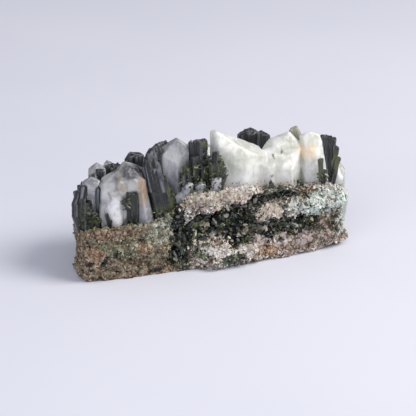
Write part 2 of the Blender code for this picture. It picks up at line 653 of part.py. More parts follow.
def ball(centre, half_sizes, lean=0.0, fineness=2):
    shape = bmesh.new()
    bmesh.ops.create_icosphere(shape, subdivisions=fineness, radius=1.0)
    place = Matrix.Translation(centre) @ Matrix.Rotation(math.radians(-lean), 4, "Y")
    shape.transform(place @ Matrix.Diagonal((*half_sizes, 1.0)))
    return shape


def swollen(mesh, swells):
    """Moves every point along its normal by noise of several sizes, in mm."""
    normals = [corner.normal.copy() for corner in mesh.vertices]
    for corner, normal in zip(mesh.vertices, normals):
        shift = 0.0
        for number, (size, height) in enumerate(swells):
            place = corner.co / size + Vector((number * 7.3, SEED, 0))
            shift += height * noise.noise(place)
        corner.co += normal * shift


def melted(shapes, name, voxel, swells, triangles, collection):
    """Crossing shapes turned into one lumpy skin with so many triangles."""
    together = bmesh.new()
    for shape in shapes:
        loose = mesh_of(shape, "loose")
        together.from_mesh(loose)
        bpy.data.meshes.remove(loose)
    body = new_object(name, mesh_of(together, name), collection)
    remesh = body.modifiers.new("remesh", "REMESH")
    remesh.mode = "VOXEL"
    remesh.voxel_size = voxel
    settle(body)
    swollen(body.data, swells)
    thin = body.modifiers.new("thin", "DECIMATE")
    now = sum(len(face.vertices) - 2 for face in body.data.polygons)
    thin.ratio = min(1.0, triangles / now)
    thin.use_collapse_triangulate = True
    settle(body)
    return body


def rock(collection):
    """The slab with its lumps, roughened and cut flat at the base."""
    shapes = [slab_shape()] + [ball(centre, half_sizes) for centre, half_sizes in LUMPS]
    body = melted(shapes, "matrix", ROCK_VOXEL, ROCK_SWELL, ROCK_TRIANGLES, collection)
    shape = bmesh.new()
    shape.from_mesh(body.data)
    cut_by_plane(shape, Vector((0, 0, 0)), Vector((0, 0, -1)))
    bmesh.ops.triangulate(shape, faces=shape.faces)
    shape.to_mesh(body.data)
    shape.free()
    return body


def hollow(name, purpose, inset, forward, collection):
    """The skin of a hollow, moved inwards by the inset and towards the front, in mm."""
    shapes = [
        ball((x, y - forward, z), [size - inset for size in half_sizes], lean)
        for (x, y, z), half_sizes, lean in HOLLOWS[name]
    ]
    return melted(
        shapes, purpose, HOLLOW_VOXEL, HOLLOW_SWELL, HOLLOW_TRIANGLES[name], collection
    )


def druse(name, number, collection):
    """A crust of small crystals that lines the back of a hollow and points to its mouth."""
    draw = random.Random(SEED * 5 + number)
    room = hollow(name, f"{name}_room", ROOM_INSET, 0, collection)
    crust = hollow(name, name, CRUST_INSET, 0, collection)
    air = hollow(name, f"{name}_air", AIR_INSET, CRUST_DEPTH, collection)
    boolean(crust, "DIFFERENCE", air)
    slice_off = bmesh.new()
    bmesh.ops.create_cube(slice_off, size=1.0)
    slice_off.transform(
        Matrix.Translation((0, CRUST_FRONT - IN_FRONT[1] / 2, 0))
        @ Matrix.Diagonal((*IN_FRONT, 1.0))
    )
    front = new_object(f"{name}_front", mesh_of(slice_off, "front"), collection)
    boolean(crust, "DIFFERENCE", front)
    keep_largest(crust)
    graph = bpy.context.evaluated_depsgraph_get()
    floor = BVHTree.FromObject(crust, graph)
    corners = np.array([corner.co for corner in crust.data.vertices])
    low, high = corners.min(axis=0), corners.max(axis=0)
    columns = round((high[0] - low[0]) / DRUSE_SPACING)
    rows = round((high[2] - low[2]) / DRUSE_SPACING)
    for column in range(columns):
        for row in range(rows):
            jitter_x = draw.uniform(-DRUSE_JITTER, DRUSE_JITTER)
            jitter_z = draw.uniform(-DRUSE_JITTER, DRUSE_JITTER)
            x = low[0] + (column + 0.5 + jitter_x) * DRUSE_SPACING
            z = low[2] + (row + 0.5 + jitter_z) * DRUSE_SPACING
            spot, normal, _, _ = floor.ray_cast(Vector((x, low[1] - 1, z)), Vector((0, 1, 0)))
            if spot is None or normal.y > -DRUSE_FACING:
                continue
            wander = Vector([draw.uniform(*ends) for ends in DRUSE_WANDER])
            way = (normal + wander).normalized()
            length = draw.uniform(*DRUSE_LENGTH)
            width = draw.uniform(*DRUSE_WIDTH)
            turn = draw.uniform(*DRUSE_TURN)
            spec = prism(spot, spot + way * length, width, width * DRUSE_DEPTH, turn)
            shape = stick(spec, False, number * CRUST_STEP + column * COLUMN_STEP + row)
            other = new_object(f"{name}_crystal", mesh_of(shape, name), collection)
            boolean(crust, "UNION", other)
            bpy.data.objects.remove(other, do_unlink=True)
    boolean(crust, "INTERSECT", room)
    keep_largest(crust)
    for helper in (room, air, front):
        bpy.data.objects.remove(helper, do_unlink=True)
    return crust


def finish(subject, look):
    subject.data.materials.clear()
    subject.data.materials.append(look)


def to_metres(items, pieces):
    """Moves every mesh from sketch millimetres to metres, with the box over the origin."""
    corners = np.array([corner.co for piece in pieces for corner in piece.data.vertices])
    middle = (corners.min(axis=0) + corners.max(axis=0)) / 2
    place = Matrix.Diagonal((MM, MM, MM, 1.0)) @ Matrix.Translation((-middle[0], -middle[1], 0))
    for item in items:
        item.data.transform(place)


def main():
    clear_scene()
    pieces = bpy.data.collections.new("epidote_cluster")
    helpers = bpy.data.collections.new("cutters")
    bpy.context.scene.collection.children.link(pieces)
    bpy.context.scene.collection.children.link(helpers)
    epidote = material("epidote", (0.045, 0.055, 0.05), 0.35)
    quartz = material("quartz", (0.72, 0.72, 0.74), 0.12)
    milky = material("milky_quartz", (0.76, 0.78, 0.74), 0.3)
    stone = material("matrix_rock", (0.38, 0.31, 0.24), 0.85)
    crust = material("epidote_druse", (0.04, 0.06, 0.035), 0.4)

    cutters = []
    sockets = []
    for kind, is_quartz, look in ((EPIDOTE, False, epidote), (QUARTZ, True, quartz)):
        for name, specs in kind.items():
            body = crystals(name, specs, is_quartz, pieces)
            carve(body, cutters)
            finish(body, milky if name == "quartz_milky" else look)
            grown = crystals(name, specs, is_quartz, helpers, GAP)
            cutters.append(grown)
            sockets.append(grown if name in SIDE_GROWN else socket(grown, specs, helpers))

    moulds = []
    for number, name in enumerate(HOLLOWS):
        mould = hollow(name, f"{name}_hollow", 0, 0, helpers)
        body = druse(name, number, pieces)
        carve(body, cutters)
        finish(body, crust)
        moulds.append(mould)

    body = rock(pieces)
    for index, (centre, radius) in enumerate(PITS):
        pit = ball(centre, [radius * share for share in PIT_SHAPE], PIT_LEAN, 1)
        moulds.append(new_object(f"pit_{index}", mesh_of(pit, "pit"), helpers))
    carve(body, moulds + sockets)
    finish(body, stone)

    to_metres([*pieces.objects, *helpers.objects], pieces.objects)
    for item in helpers.objects:
        item.hide_render = True
        item.display_type = "WIRE"


main()
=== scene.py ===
# %% [markdown]
# # An epidote cluster
# This specimen is a slab of granular rock with crystals standing on its upper edge: clear, grey and
# milky quartz, and dark green-black epidote blades between them. Small dark crystals line the hollows
# in its broken front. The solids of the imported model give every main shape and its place. This lesson
# dresses them: it roughens the rock, cuts grooves along the blades, grows the small crystals that are
# too many for solids, and gives each mineral its own finish.

import math

import bmesh
import bpy
import numpy as np
from mathutils import Matrix, Vector, bvhtree, noise


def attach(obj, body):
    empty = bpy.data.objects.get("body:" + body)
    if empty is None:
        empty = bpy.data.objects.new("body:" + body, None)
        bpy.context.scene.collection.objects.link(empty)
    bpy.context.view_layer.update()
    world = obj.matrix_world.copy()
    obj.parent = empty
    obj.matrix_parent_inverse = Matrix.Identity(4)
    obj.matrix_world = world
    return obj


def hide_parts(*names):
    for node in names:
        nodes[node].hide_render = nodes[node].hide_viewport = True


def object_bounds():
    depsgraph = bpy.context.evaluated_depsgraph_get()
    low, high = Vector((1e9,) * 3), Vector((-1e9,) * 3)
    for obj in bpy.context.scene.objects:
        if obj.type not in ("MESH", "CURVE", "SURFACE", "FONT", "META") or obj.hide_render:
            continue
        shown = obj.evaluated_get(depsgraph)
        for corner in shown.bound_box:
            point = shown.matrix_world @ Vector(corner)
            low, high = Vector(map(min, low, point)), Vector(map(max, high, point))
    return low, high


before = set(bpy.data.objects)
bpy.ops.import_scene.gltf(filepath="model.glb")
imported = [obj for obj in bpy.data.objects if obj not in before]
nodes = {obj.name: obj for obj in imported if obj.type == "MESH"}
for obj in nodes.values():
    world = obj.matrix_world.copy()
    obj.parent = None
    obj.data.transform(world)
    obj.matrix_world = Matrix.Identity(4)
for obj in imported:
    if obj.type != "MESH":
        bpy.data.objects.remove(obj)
cad_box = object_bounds()
MM = 0.001
lowest, highest = (np.array(corner) for corner in cad_box)
print("solids:", len(nodes), "size in mm:", [round(v / MM, 1) for v in highest - lowest])

# %% [markdown]
# ## Camera
# The specimen was photographed from about half a metre with a long lens, so its parallel edges stay
# almost parallel. The camera looks at the broken front, a little from the left and a little from
# above. The lens comes from how many millimetres one pixel of the picture spans on the object.

# %% Place the camera
PICTURE = 416  # pixels across
PIXEL = 0.266 * MM  # what one pixel spans on the specimen
DISTANCE = 0.450  # metres
SENSOR = 36  # mm
LOOK_AT = Vector((1.145, 2.2, 10.51)) * MM
AZIMUTH, ELEVATION = math.radians(-20), math.radians(20)

towards = Vector((
    math.sin(AZIMUTH) * math.cos(ELEVATION),
    -math.cos(AZIMUTH) * math.cos(ELEVATION),
    math.sin(ELEVATION),
))
lens = bpy.data.cameras.new("camera")
lens.sensor_width = SENSOR
lens.lens = SENSOR * DISTANCE / (PICTURE * PIXEL)
lens.clip_start = 0.01
camera = bpy.data.objects.new("camera", lens)
camera.location = LOOK_AT + towards * DISTANCE
camera.rotation_euler = (-towards).to_track_quat("-Z", "Y").to_euler()
bpy.context.scene.collection.objects.link(camera)
bpy.context.scene.camera = camera
print("lens in mm:", round(lens.lens, 1))

# %% [markdown]
# ## Two small helpers
# Colours are picked as the hex codes that a paint program shows, and Blender calculates with linear
# light, so one function converts them. Every tree of nodes below, for a material or for geometry, is
# put together by one other function, which adds a node, sets it up and links its inputs.

# %% Helpers for colours and node trees
def linear(code):
    """An sRGB hex colour as the linear RGBA that Blender calculates with."""
    shares = [int(code[i : i + 2], 16) / 255 for i in (1, 3, 5)]
    return [s / 12.92 if s <= 0.04045 else ((s + 0.055) / 1.055) ** 2.4 for s in shares] + [1]


def add(tree, kind, inputs=None, stops=(), **settings):
    """Adds a node. inputs maps a socket's name or number to a socket to link, a colour or a value."""
    node = tree.nodes.new(kind)
    for name, value in settings.items():
        setattr(node, name, value)
    for key, value in (inputs or {}).items():
        if isinstance(value, bpy.types.NodeSocket):
            tree.links.new(value, node.inputs[key])
        else:
            node.inputs[key].default_value = linear(value) if str(value).startswith("#") else value
    if stops:
        ramp = node.color_ramp.elements
        while len(ramp) < len(stops):
            ramp.new(1)
        for element, (place, code) in zip(ramp, stops):
            element.position = place
            element.color = linear(code)
    return node


print("mid grey in linear light:", round(linear("#808080")[0], 3))

# %% [markdown]
# ## Light
# The picture has soft daylight from the right and a bright, pale surface all round. A sun or a small
# lamp would draw hard shadows. So a large square lamp stands high at the right like a window, a larger
# and weaker one at the front left beside the camera, and a pale sky fills the shadows. The standard
# view keeps the colours as they are picked.

# %% Lamps and sky
SKY_COLOUR, SKY_STRENGTH = "#EBECF5", 0.44

scene = bpy.context.scene
scene.view_settings.view_transform = "Standard"


def lamp(name, azimuth, elevation, distance, size, power, colour):
    """A square soft lamp that shines at the specimen. Azimuth 0 is in front of it, 90 at its right."""
    light = bpy.data.lights.new(name, "AREA")
    light.size, light.energy, light.color = size, power, linear(colour)[:3]
    around, up = math.radians(azimuth), math.radians(elevation)
    place = Vector((math.sin(around) * math.cos(up), -math.cos(around) * math.cos(up), math.sin(up)))
    obj = bpy.data.objects.new(name, light)
    obj.location = LOOK_AT + place * distance
    obj.rotation_euler = (-place).to_track_quat("-Z", "Y").to_euler()
    scene.collection.objects.link(obj)
    print(name, power, "W,", size, "m wide")


lamp("window_right", azimuth=60, elevation=43, distance=0.85, size=0.50, power=5.9, colour="#FFFBF4")
lamp("front_fill", azimuth=-40, elevation=32, distance=1.2, size=0.80, power=3.6, colour="#F6F7FF")
sky = bpy.data.worlds.new("pale_sky")
sky.use_nodes = True
background = sky.node_tree.nodes["Background"].inputs
background["Color"].default_value = linear(SKY_COLOUR)
background["Strength"].default_value = SKY_STRENGTH
scene.world = sky

# %% [markdown]
# ## Floor
# The specimen stands on plain matt paper of a pale lavender white. One large sheet is enough: the
# camera looks down on it, so it fills the picture behind the specimen too. Paper fibres are far finer
# than a pixel, so a slow noise only clouds the sheet a little, a few times to the metre.

# %% Paper floor
PAPER_SIZE = 6


def new_material(name):
    """A material with its Principled shader, ready for nodes."""
    made = bpy.data.materials.new(name)
    made.use_nodes = True
    return made, made.node_tree, made.node_tree.nodes["Principled BSDF"]


# Uncoated paper: it has no shine, so all that shows on it is the specimen's soft shadow.
paper, tree, shader = new_material("matt_paper")
place = add(tree, "ShaderNodeTexCoord").outputs["Object"]
clouds = add(tree, "ShaderNodeTexNoise", {"Vector": place, "Scale": 6.0, "Detail": 3.0})
tint = add(tree, "ShaderNodeValToRGB", {0: clouds.outputs[0]}, [(0.35, "#E4E6F3"), (0.65, "#E9EBF7")])
tree.links.new(tint.outputs[0], shader.inputs["Base Color"])
shader.inputs["Roughness"].default_value = 0.9

bpy.ops.mesh.primitive_grid_add(x_subdivisions=8, y_subdivisions=8, size=PAPER_SIZE)
floor = bpy.context.object
floor.name = "floor"
floor.data.materials.append(paper)
print("floor:", PAPER_SIZE, "m wide")

# %% [markdown]
# ## Working on a solid's copy
# The frame's own solids stay as they are. To add relief, a copy is welded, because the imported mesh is
# made of loose triangles. Subdividing it would leave its long thin triangles long and thin, so it's
# remeshed into small even squares that can be moved. At the end every point is kept inside the box of
# the solids, so the dressed piece has the same size.

# %% Copy, remesh and keep inside the box
WELD = 2e-6  # metres, within which two corners are one


def link_new(name, mesh):
    """A new object with this mesh, at the origin."""
    obj = bpy.data.objects.new(name, mesh)
    scene.collection.objects.link(obj)
    return obj


def welded(node):
    """A welded copy of a solid's mesh."""
    mesh = nodes[node].data.copy()
    mesh.materials.clear()
    bm = bmesh.new()
    bm.from_mesh(mesh)
    bmesh.ops.remove_doubles(bm, verts=bm.verts, dist=WELD)
    bmesh.ops.recalc_face_normals(bm, faces=bm.faces)
    bm.to_mesh(mesh)
    bm.free()
    mesh.validate()
    return mesh


def plain_mesh(obj):
    """What the object's modifiers give, as a plain mesh. The object is removed."""
    graph = bpy.context.evaluated_depsgraph_get()
    mesh = bpy.data.meshes.new_from_object(
        obj.evaluated_get(graph), preserve_all_data_layers=True, depsgraph=graph
    )
    bpy.data.objects.remove(obj)
    return mesh


def remeshed(mesh, voxel):
    """The mesh rebuilt from even squares of this size."""
    obj = link_new("remeshing", mesh)
    remesh = obj.modifiers.new("remesh", "REMESH")
    remesh.mode = "VOXEL"
    remesh.voxel_size = voxel
    return plain_mesh(obj)


def points_of(mesh):
    """The mesh's points, one row each."""
    co = np.empty(len(mesh.vertices) * 3, np.float32)
    mesh.vertices.foreach_get("co", co)
    return co.reshape(-1, 3).astype(float)


def normals_of(mesh):
    """The normals at the mesh's points, one row each."""
    out = np.empty(len(mesh.vertices) * 3, np.float32)
    mesh.vertex_normals.foreach_get("vector", out)
    return out.reshape(-1, 3).astype(float)


def set_points(mesh, co):
    """Moves the mesh's points, kept inside the box of the solids."""
    co = np.clip(co, lowest, highest)
    mesh.vertices.foreach_set("co", co.astype(np.float32).ravel())
    mesh.update()


def set_attribute(mesh, name, values):
    """Gives each point of the mesh a number under this name, for a material or a tree to read."""
    made = mesh.attributes.new(name, "FLOAT", "POINT")
    made.data.foreach_set("value", np.asarray(values, np.float32))


def triangles(mesh):
    """How many triangles the mesh's faces make."""
    return sum(len(p.vertices) - 2 for p in mesh.polygons)


def piece(name, mesh, replaced=()):
    """A finished piece: it rides on the specimen, and the solids that it replaces are hidden."""
    obj = link_new(name, mesh)
    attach(obj, "root")
    if replaced:
        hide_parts(*replaced)
    print(name, triangles(mesh), "triangles")
    return obj


print("the slab's solid:", triangles(nodes["matrix"].data), "triangles")

# %% [markdown]
# ## Colours that follow the place
# A mineral isn't one colour all over: rust spreads from a crack, and a stain sits on one face. It could
# be painted on an image, but a patch that is worked out from its place needs none and stays sharp. Such
# a patch is a soft ball at a place on the specimen. Its measure is millimetres on the object, so it
# stays on the stone from whatever side it's seen.

# %% Soft patches
def place_in_mm(tree, wobble, size):
    """The place on the specimen in mm, as it is and pushed about, so that patches get ragged edges.

    A noise of this size pushes it, by up to this wobble, both in mm.
    """
    spot = add(tree, "ShaderNodeTexCoord")
    mm = add(tree, "ShaderNodeMapping", {"Vector": spot.outputs["Object"], "Scale": (1 / MM,) * 3})
    push = add(tree, "ShaderNodeTexNoise", {"Vector": mm.outputs[0], "Scale": 1 / size, "Detail": 3.0})
    middle = {0: push.outputs["Color"], 1: (0.5, 0.5, 0.5)}
    centred = add(tree, "ShaderNodeVectorMath", middle, operation="SUBTRACT")
    shift = {0: centred.outputs[0], 1: (2 * wobble,) * 3, 2: mm.outputs[0]}
    pushed = add(tree, "ShaderNodeVectorMath", shift, operation="MULTIPLY_ADD")
    return mm.outputs[0], pushed.outputs[0]


def patch(tree, place, centre, size, soft=0.35):
    """1 inside an ellipsoid of these half sizes, 0 outside, with a soft edge."""
    away = add(tree, "ShaderNodeVectorMath", {0: place, 1: centre}, operation="SUBTRACT")
    shares = add(tree, "ShaderNodeVectorMath", {0: away.outputs[0], 1: size}, operation="DIVIDE")
    far = add(tree, "ShaderNodeVectorMath", {0: shares.outputs[0]}, operation="LENGTH")
    soft_edge = {"Value": far.outputs["Value"], "From Min": 1 + soft, "From Max": 1 - soft}
    return add(tree, "ShaderNodeMapRange", soft_edge, interpolation_type="SMOOTHSTEP").outputs[0]


def blend_in(tree, mask, under, over, strength=1.0):
    """The colour over laid on the colour under where the mask is 1."""
    share = add(tree, "ShaderNodeMath", {0: mask, 1: strength}, operation="MULTIPLY").outputs[0]
    return add(tree, "ShaderNodeMix", {0: share, 6: under, 7: over}, data_type="RGBA").outputs[2]


def tinted(tree, place, colour, tints):
    """The colour with tints laid on it, each by its code, centre, half sizes, softness and strength."""
    for code, centre, size, soft, strength in tints:
        colour = blend_in(tree, patch(tree, place, centre, size, soft), colour, code, strength)
    return colour


# %% [markdown]
# ## Rock: the finish
# The slab is an altered granular rock: grains of pale feldspar and quartz half a millimetre to one
# millimetre across, soaked with green epidote and stained by iron. To the eye it's a salt-and-pepper
# speckle whose mixture changes from place to place. A noise would blur one colour into the next, so a
# Voronoi pattern gives each grain one flat colour, picked at random from a short list, and soft patches
# choose which list holds where. Hollows get painted shade, by the height that the mesh below keeps.

# %% Colours of the rock
OLIVE_ROCK = ["#5E5B46", "#7A755C", "#97876A", "#646852", "#AC9E82", "#3C362A", "#877A60", "#84694E",
              "#757C67", "#7A573F", "#BDB69E", "#28251E", "#8F907B", "#A8AA95"]
SHADY_ROCK = ["#5A4E3E", "#7A6B54", "#3A332A", "#6B5C48", "#8D7C62", "#4B4437", "#9B8F78", "#2A2620",
              "#6E5640", "#827A66", "#A79C86"]
RUSTY_ROCK = ["#836650", "#A28D77", "#60442F", "#B7A38B", "#544A3B", "#93775D", "#8F826C", "#48352A",
              "#A98A70", "#756B5C", "#C2B6A0"]
PINK_ROCK = ["#DDD2C8", "#C3B1A5", "#EDE8E1", "#A89284", "#D6C8BC", "#85705C", "#F3F0EA", "#74776A",
             "#CDBFB4", "#53392D", "#E3D9D1", "#585E4C", "#BE9F90", "#3A352D"]
PALE_ROCK = ["#D2C3B8", "#C6B2A6", "#D6D0C6", "#BDA698", "#C9BCAE", "#A8A28C", "#DEDAD2", "#A4A992",
             "#C8ADA1", "#97806E", "#CFC6BB", "#B4B5A0", "#D9C9BF"]
MINT_ROCK = ["#DFE8E1", "#C9D7CE", "#EFF3EF", "#A9BAB0", "#D8E3DC", "#8C9988", "#EBEEE8", "#A08B79",
             "#CCDAD1", "#5C6757", "#E5EBE6"]
CRUST_ROCK = ["#8A9080", "#AEB0A2", "#667060", "#C1BFB2", "#515B48", "#979E8B", "#756856", "#A39884",
              "#7E8673"]
BROWN_ROCK = ["#7A6152", "#978376", "#59443A", "#6E6B59", "#B3A498", "#4A4A42", "#84705F", "#A39688",
              "#C6BCB2", "#6A6656"]
DARK_ROCK = ["#20241E", "#2E342A", "#444C3A", "#282723", "#525A48", "#181A16", "#5F6354"]
MOSS_ROCK = ["#5E5B46", "#7A755C", "#6A7058", "#8E9078", "#4C5340", "#97876A", "#A8AA95", "#5B4A38"]
GREEN_ROCK = ["#4F5C42", "#69755A", "#353F2F", "#7C8670", "#434F38", "#8F957E", "#2B3328"]
BLACK_ROCK = ["#191A17", "#24241F", "#2E2B25", "#141411"]
AMBER_ROCK = ["#8B6C55", "#A78971", "#6C4D3A", "#B99E87", "#85654F", "#C8B19C", "#96704F"]
WHITE_ROCK = ["#EFECE8", "#DDD7D2", "#F6F4F1", "#CBC3BC", "#E6E1DC"]
CLEAR_ROCK = ["#C9BCB5", "#BDB0AB", "#D4C9C3", "#A99A93"]

# Each zone: its colours, its centre and half sizes in mm, and how soft its edge is.
ROCK_ZONES = [
    (PINK_ROCK, (17, -6, 8), (30, 30, 40), 0.10),
    (PALE_ROCK, (-2, -12, 19.5), (13, 8, 2.6), 0.4),
    (PALE_ROCK, (12, -13, 13.4), (6, 5, 1.6), 0.4),
    (MINT_ROCK, (29, -10, 13.4), (11, 14, 4.4), 0.3),
    (MINT_ROCK, (33.5, -11, 8), (1.8, 5, 4.5), 0.4),
    (BROWN_ROCK, (28.5, -12, 7.3), (5.4, 6, 3.4), 0.35),
    (BROWN_ROCK, (24, -13, 3.6), (10, 5, 2.0), 0.4),
    (SHADY_ROCK, (-27, -13, 5.0), (11, 5, 3.6), 0.6),
    (CRUST_ROCK, (-17, -12, 12.6), (6.0, 6, 4.2), 0.4),
    (MOSS_ROCK, (-29, -13, 8.6), (7.5, 3, 2.2), 0.7),
    (RUSTY_ROCK, (-37, -9, 4.5), (3.6, 10, 7.5), 0.4),
    (RUSTY_ROCK, (-24, -13, 0.8), (13, 5, 2.0), 0.5),
    (RUSTY_ROCK, (-30, -13, 12.6), (8, 4, 1.5), 0.5),
    (AMBER_ROCK, (-34.5, -12.5, 6.8), (1.8, 3, 1.4), 0.5),
    (AMBER_ROCK, (-21.8, -13.5, 8.0), (1.6, 3, 1.2), 0.3),
    (RUSTY_ROCK, (22, -12.5, 17.6), (3.4, 3, 1.5), 0.4),
    (AMBER_ROCK, (11.6, -14, 2.8), (3.6, 3, 1.3), 0.5),
    (DARK_ROCK, (-11.5, -13, 9), (2.8, 5, 8.5), 0.35),
    (DARK_ROCK, (1, -11, 12.0), (10, 4.0, 3.6), 0.3),
    (DARK_ROCK, (16, -10, 17.6), (9, 4, 1.5), 0.4),
    (DARK_ROCK, (17, -11, 9.0), (9, 4, 2.0), 0.35),
    (DARK_ROCK, (4.8, -12.5, 6.6), (2.2, 3, 2.0), 0.5),
    (GREEN_ROCK, (2.0, -16, 2.6), (4.0, 4, 1.5), 0.4),
    (GREEN_ROCK, (-6.2, -14.5, 4.2), (3.2, 3, 0.9), 0.5),
    (GREEN_ROCK, (-5.2, -14, 6.8), (1.4, 2, 0.8), 0.5),
    (GREEN_ROCK, (10.2, -12, 17.6), (3.0, 4, 1.0), 0.5),
    (BLACK_ROCK, (-7.2, -12, 8.6), (1.2, 2, 0.9), 0.5),
    (BLACK_ROCK, (-29.0, -14.1, 7.0), (0.7, 2, 0.9), 0.4),
    (BLACK_ROCK, (-32.6, -13.2, 5.5), (1.1, 2, 0.9), 0.5),
    (BLACK_ROCK, (-36.0, -12.6, 4.8), (0.8, 2, 1.1), 0.5),
    (BLACK_ROCK, (-18.0, -13.1, 1.8), (0.9, 2, 0.7), 0.5),
    (CLEAR_ROCK, (9.2, -13.7, 5.3), (1.6, 3, 1.3), 0.2),
    (CLEAR_ROCK, (16.6, -12.7, 5.4), (2.4, 3, 1.2), 0.2),
    (CLEAR_ROCK, (23.0, -13.0, 4.6), (1.6, 3, 1.1), 0.3),
    (WHITE_ROCK, (-9.6, -13.3, 14.6), (1.4, 2, 2.3), 0.4),
    (WHITE_ROCK, (-2.1, -11.5, 9.3), (1.7, 2, 1.0), 0.4),
    (WHITE_ROCK, (-2.6, -15.4, 5.0), (3.4, 2, 1.1), 0.7),
    (WHITE_ROCK, (6.0, -14.5, 4.0), (1.6, 2, 1.6), 0.6),
    (WHITE_ROCK, (5.5, -9.5, 19.6), (4.6, 4, 1.4), 0.6),
    (RUSTY_ROCK, (-8, 15, 8), (9, 6, 4), 0.6),
    (MINT_ROCK, (6, 13, 12.5), (8, 6, 2.5), 0.5),
    (MOSS_ROCK, (22, 14, 5), (9, 6, 4), 0.6),
]


def even_stops(colours):
    """One flat colour after another, in equal shares."""
    return [(i / len(colours), code) for i, code in enumerate(colours)]


print("rock zones:", len(ROCK_ZONES))

# %% Granular rock
GRAIN = 0.75  # mm, the width of a grain
SPECK = 0.42  # mm, the width of the specks that most grains break up into
WHOLE = 0.35  # the share of the grains that stay whole
BEND = 0.8  # mm, by which a noise bends the grains' outlines
THINNING = 0.15  # what each zone's edge is softer by, so that it thins out speck by speck


def rock_finish(name, roughness):
    """Speckled rock with painted shade in its hollows. The cells are as wide as the real grains, 0.4 to
    0.8 mm.
    """
    made, tree, shader = new_material(name)
    mm, ragged = place_in_mm(tree, wobble=2.2, size=2.4)
    bent = add(tree, "ShaderNodeTexNoise", {"Vector": mm, "Scale": 1.6, "Detail": 2.0})
    bend = {0: bent.outputs["Color"], 1: (BEND,) * 3, 2: mm}
    grain_place = add(tree, "ShaderNodeVectorMath", bend, operation="MULTIPLY_ADD").outputs[0]
    coarse, fine = (
        add(tree, "ShaderNodeSeparateColor", {0: cells.outputs["Color"]}).outputs
        for cells in [
            add(tree, "ShaderNodeTexVoronoi", {"Vector": grain_place, "Scale": 1 / width})
            for width in (GRAIN, SPECK)
        ]
    )
    broken = add(tree, "ShaderNodeMath", {0: coarse[1], 1: WHOLE}, operation="GREATER_THAN").outputs[0]
    pick = add(tree, "ShaderNodeMix", {0: broken, 2: coarse[0], 3: fine[0]}).outputs[0]
    speckle = add(tree, "ShaderNodeValToRGB", {0: pick}, even_stops(OLIVE_ROCK))
    speckle.color_ramp.interpolation = "CONSTANT"
    colour = speckle.outputs[0]
    for colours, centre, size, soft in ROCK_ZONES:
        speckle = add(tree, "ShaderNodeValToRGB", {0: pick}, even_stops(colours))
        speckle.color_ramp.interpolation = "CONSTANT"
        share = patch(tree, ragged, centre, size, soft + THINNING)
        chosen = add(tree, "ShaderNodeMath", {0: share, 1: fine[1]}, operation="GREATER_THAN")
        colour = blend_in(tree, chosen.outputs[0], colour, speckle.outputs[0])
    cloud = add(tree, "ShaderNodeTexNoise", {"Vector": mm, "Scale": 0.22, "Detail": 4.0})
    slow = {"Value": cloud.outputs[0], "To Min": 0.72, "To Max": 1.25}
    slow_tone = add(tree, "ShaderNodeMapRange", slow).outputs[0]
    # Painted shade: the lower a point lies in the rough surface, the darker its colour.
    height = add(tree, "ShaderNodeAttribute", attribute_name="height").outputs["Fac"]
    shade_by_height = {"Value": height, "From Min": -0.8, "From Max": 0.25, "To Min": 0.25, "To Max": 1.05}
    painted_hollow_shade = add(tree, "ShaderNodeMapRange", shade_by_height).outputs[0]
    both = add(tree, "ShaderNodeMath", {0: slow_tone, 1: painted_hollow_shade}, operation="MULTIPLY")
    shaded = add(tree, "ShaderNodeVectorMath", {0: colour, 3: both.outputs[0]}, operation="SCALE")
    tree.links.new(shaded.outputs[0], shader.inputs["Base Color"])
    glint = {"Value": fine[2], "To Min": roughness - 0.25, "To Max": roughness}
    rough = add(tree, "ShaderNodeMapRange", glint)
    tree.links.new(rough.outputs[0], shader.inputs["Roughness"])
    micro = add(tree, "ShaderNodeTexNoise", {"Vector": mm, "Scale": 2.4, "Detail": 4.0}).outputs[0]
    bump = add(tree, "ShaderNodeBump", {"Height": micro, "Strength": 0.9, "Distance": 0.2 * MM})
    tree.links.new(bump.outputs[0], shader.inputs["Normal"])
    return made


# Broken feldspar and quartz rock: matt and powdery, with a faint glint on a fresh grain here and there.
rock_material = rock_finish("altered_granular_rock", 0.85)
print(rock_material.name, len(rock_material.node_tree.nodes), "nodes")

# %% [markdown]
# ## Rock: the broken surface
# A broken granular rock is rough at every size: ledges and lumps, which the solid has, and below them
# grains that stand out or have dropped away. Bump in the material would leave the outline smooth. So
# the welded copy is remeshed and a Geometry Nodes tree pushes it in and out along its normals: a slow
# noise for lumps, a cell pattern for the grains, and a third noise for pits.

# %% Geometry Nodes trees
def new_tree(name, sizes):
    """A Geometry Nodes tree with a Geometry input and output, and an input for each of the sizes."""
    tree = bpy.data.node_groups.new(name, "GeometryNodeTree")
    tree.interface.new_socket("Geometry", in_out="INPUT", socket_type="NodeSocketGeometry")
    for label, kind in sizes.items():
        tree.interface.new_socket(label, in_out="INPUT", socket_type="NodeSocket" + kind)
    tree.interface.new_socket("Geometry", in_out="OUTPUT", socket_type="NodeSocketGeometry")
    return tree, tree.nodes.new("NodeGroupInput"), tree.nodes.new("NodeGroupOutput")


def run_tree(mesh, tree, values):
    """The plain mesh that the tree makes of this one, with its inputs set by identifier."""
    obj = link_new("growing", mesh)
    grow = obj.modifiers.new("grow", "NODES")
    grow.node_group = tree
    for item in tree.interface.items_tree:
        if item.in_out == "INPUT" and item.name in values:
            grow[item.identifier] = values[item.name]
    return plain_mesh(obj)


# %% A tree for a rough surface
PITS = 430.0  # to the metre, which is a pit every 2 to 3 mm

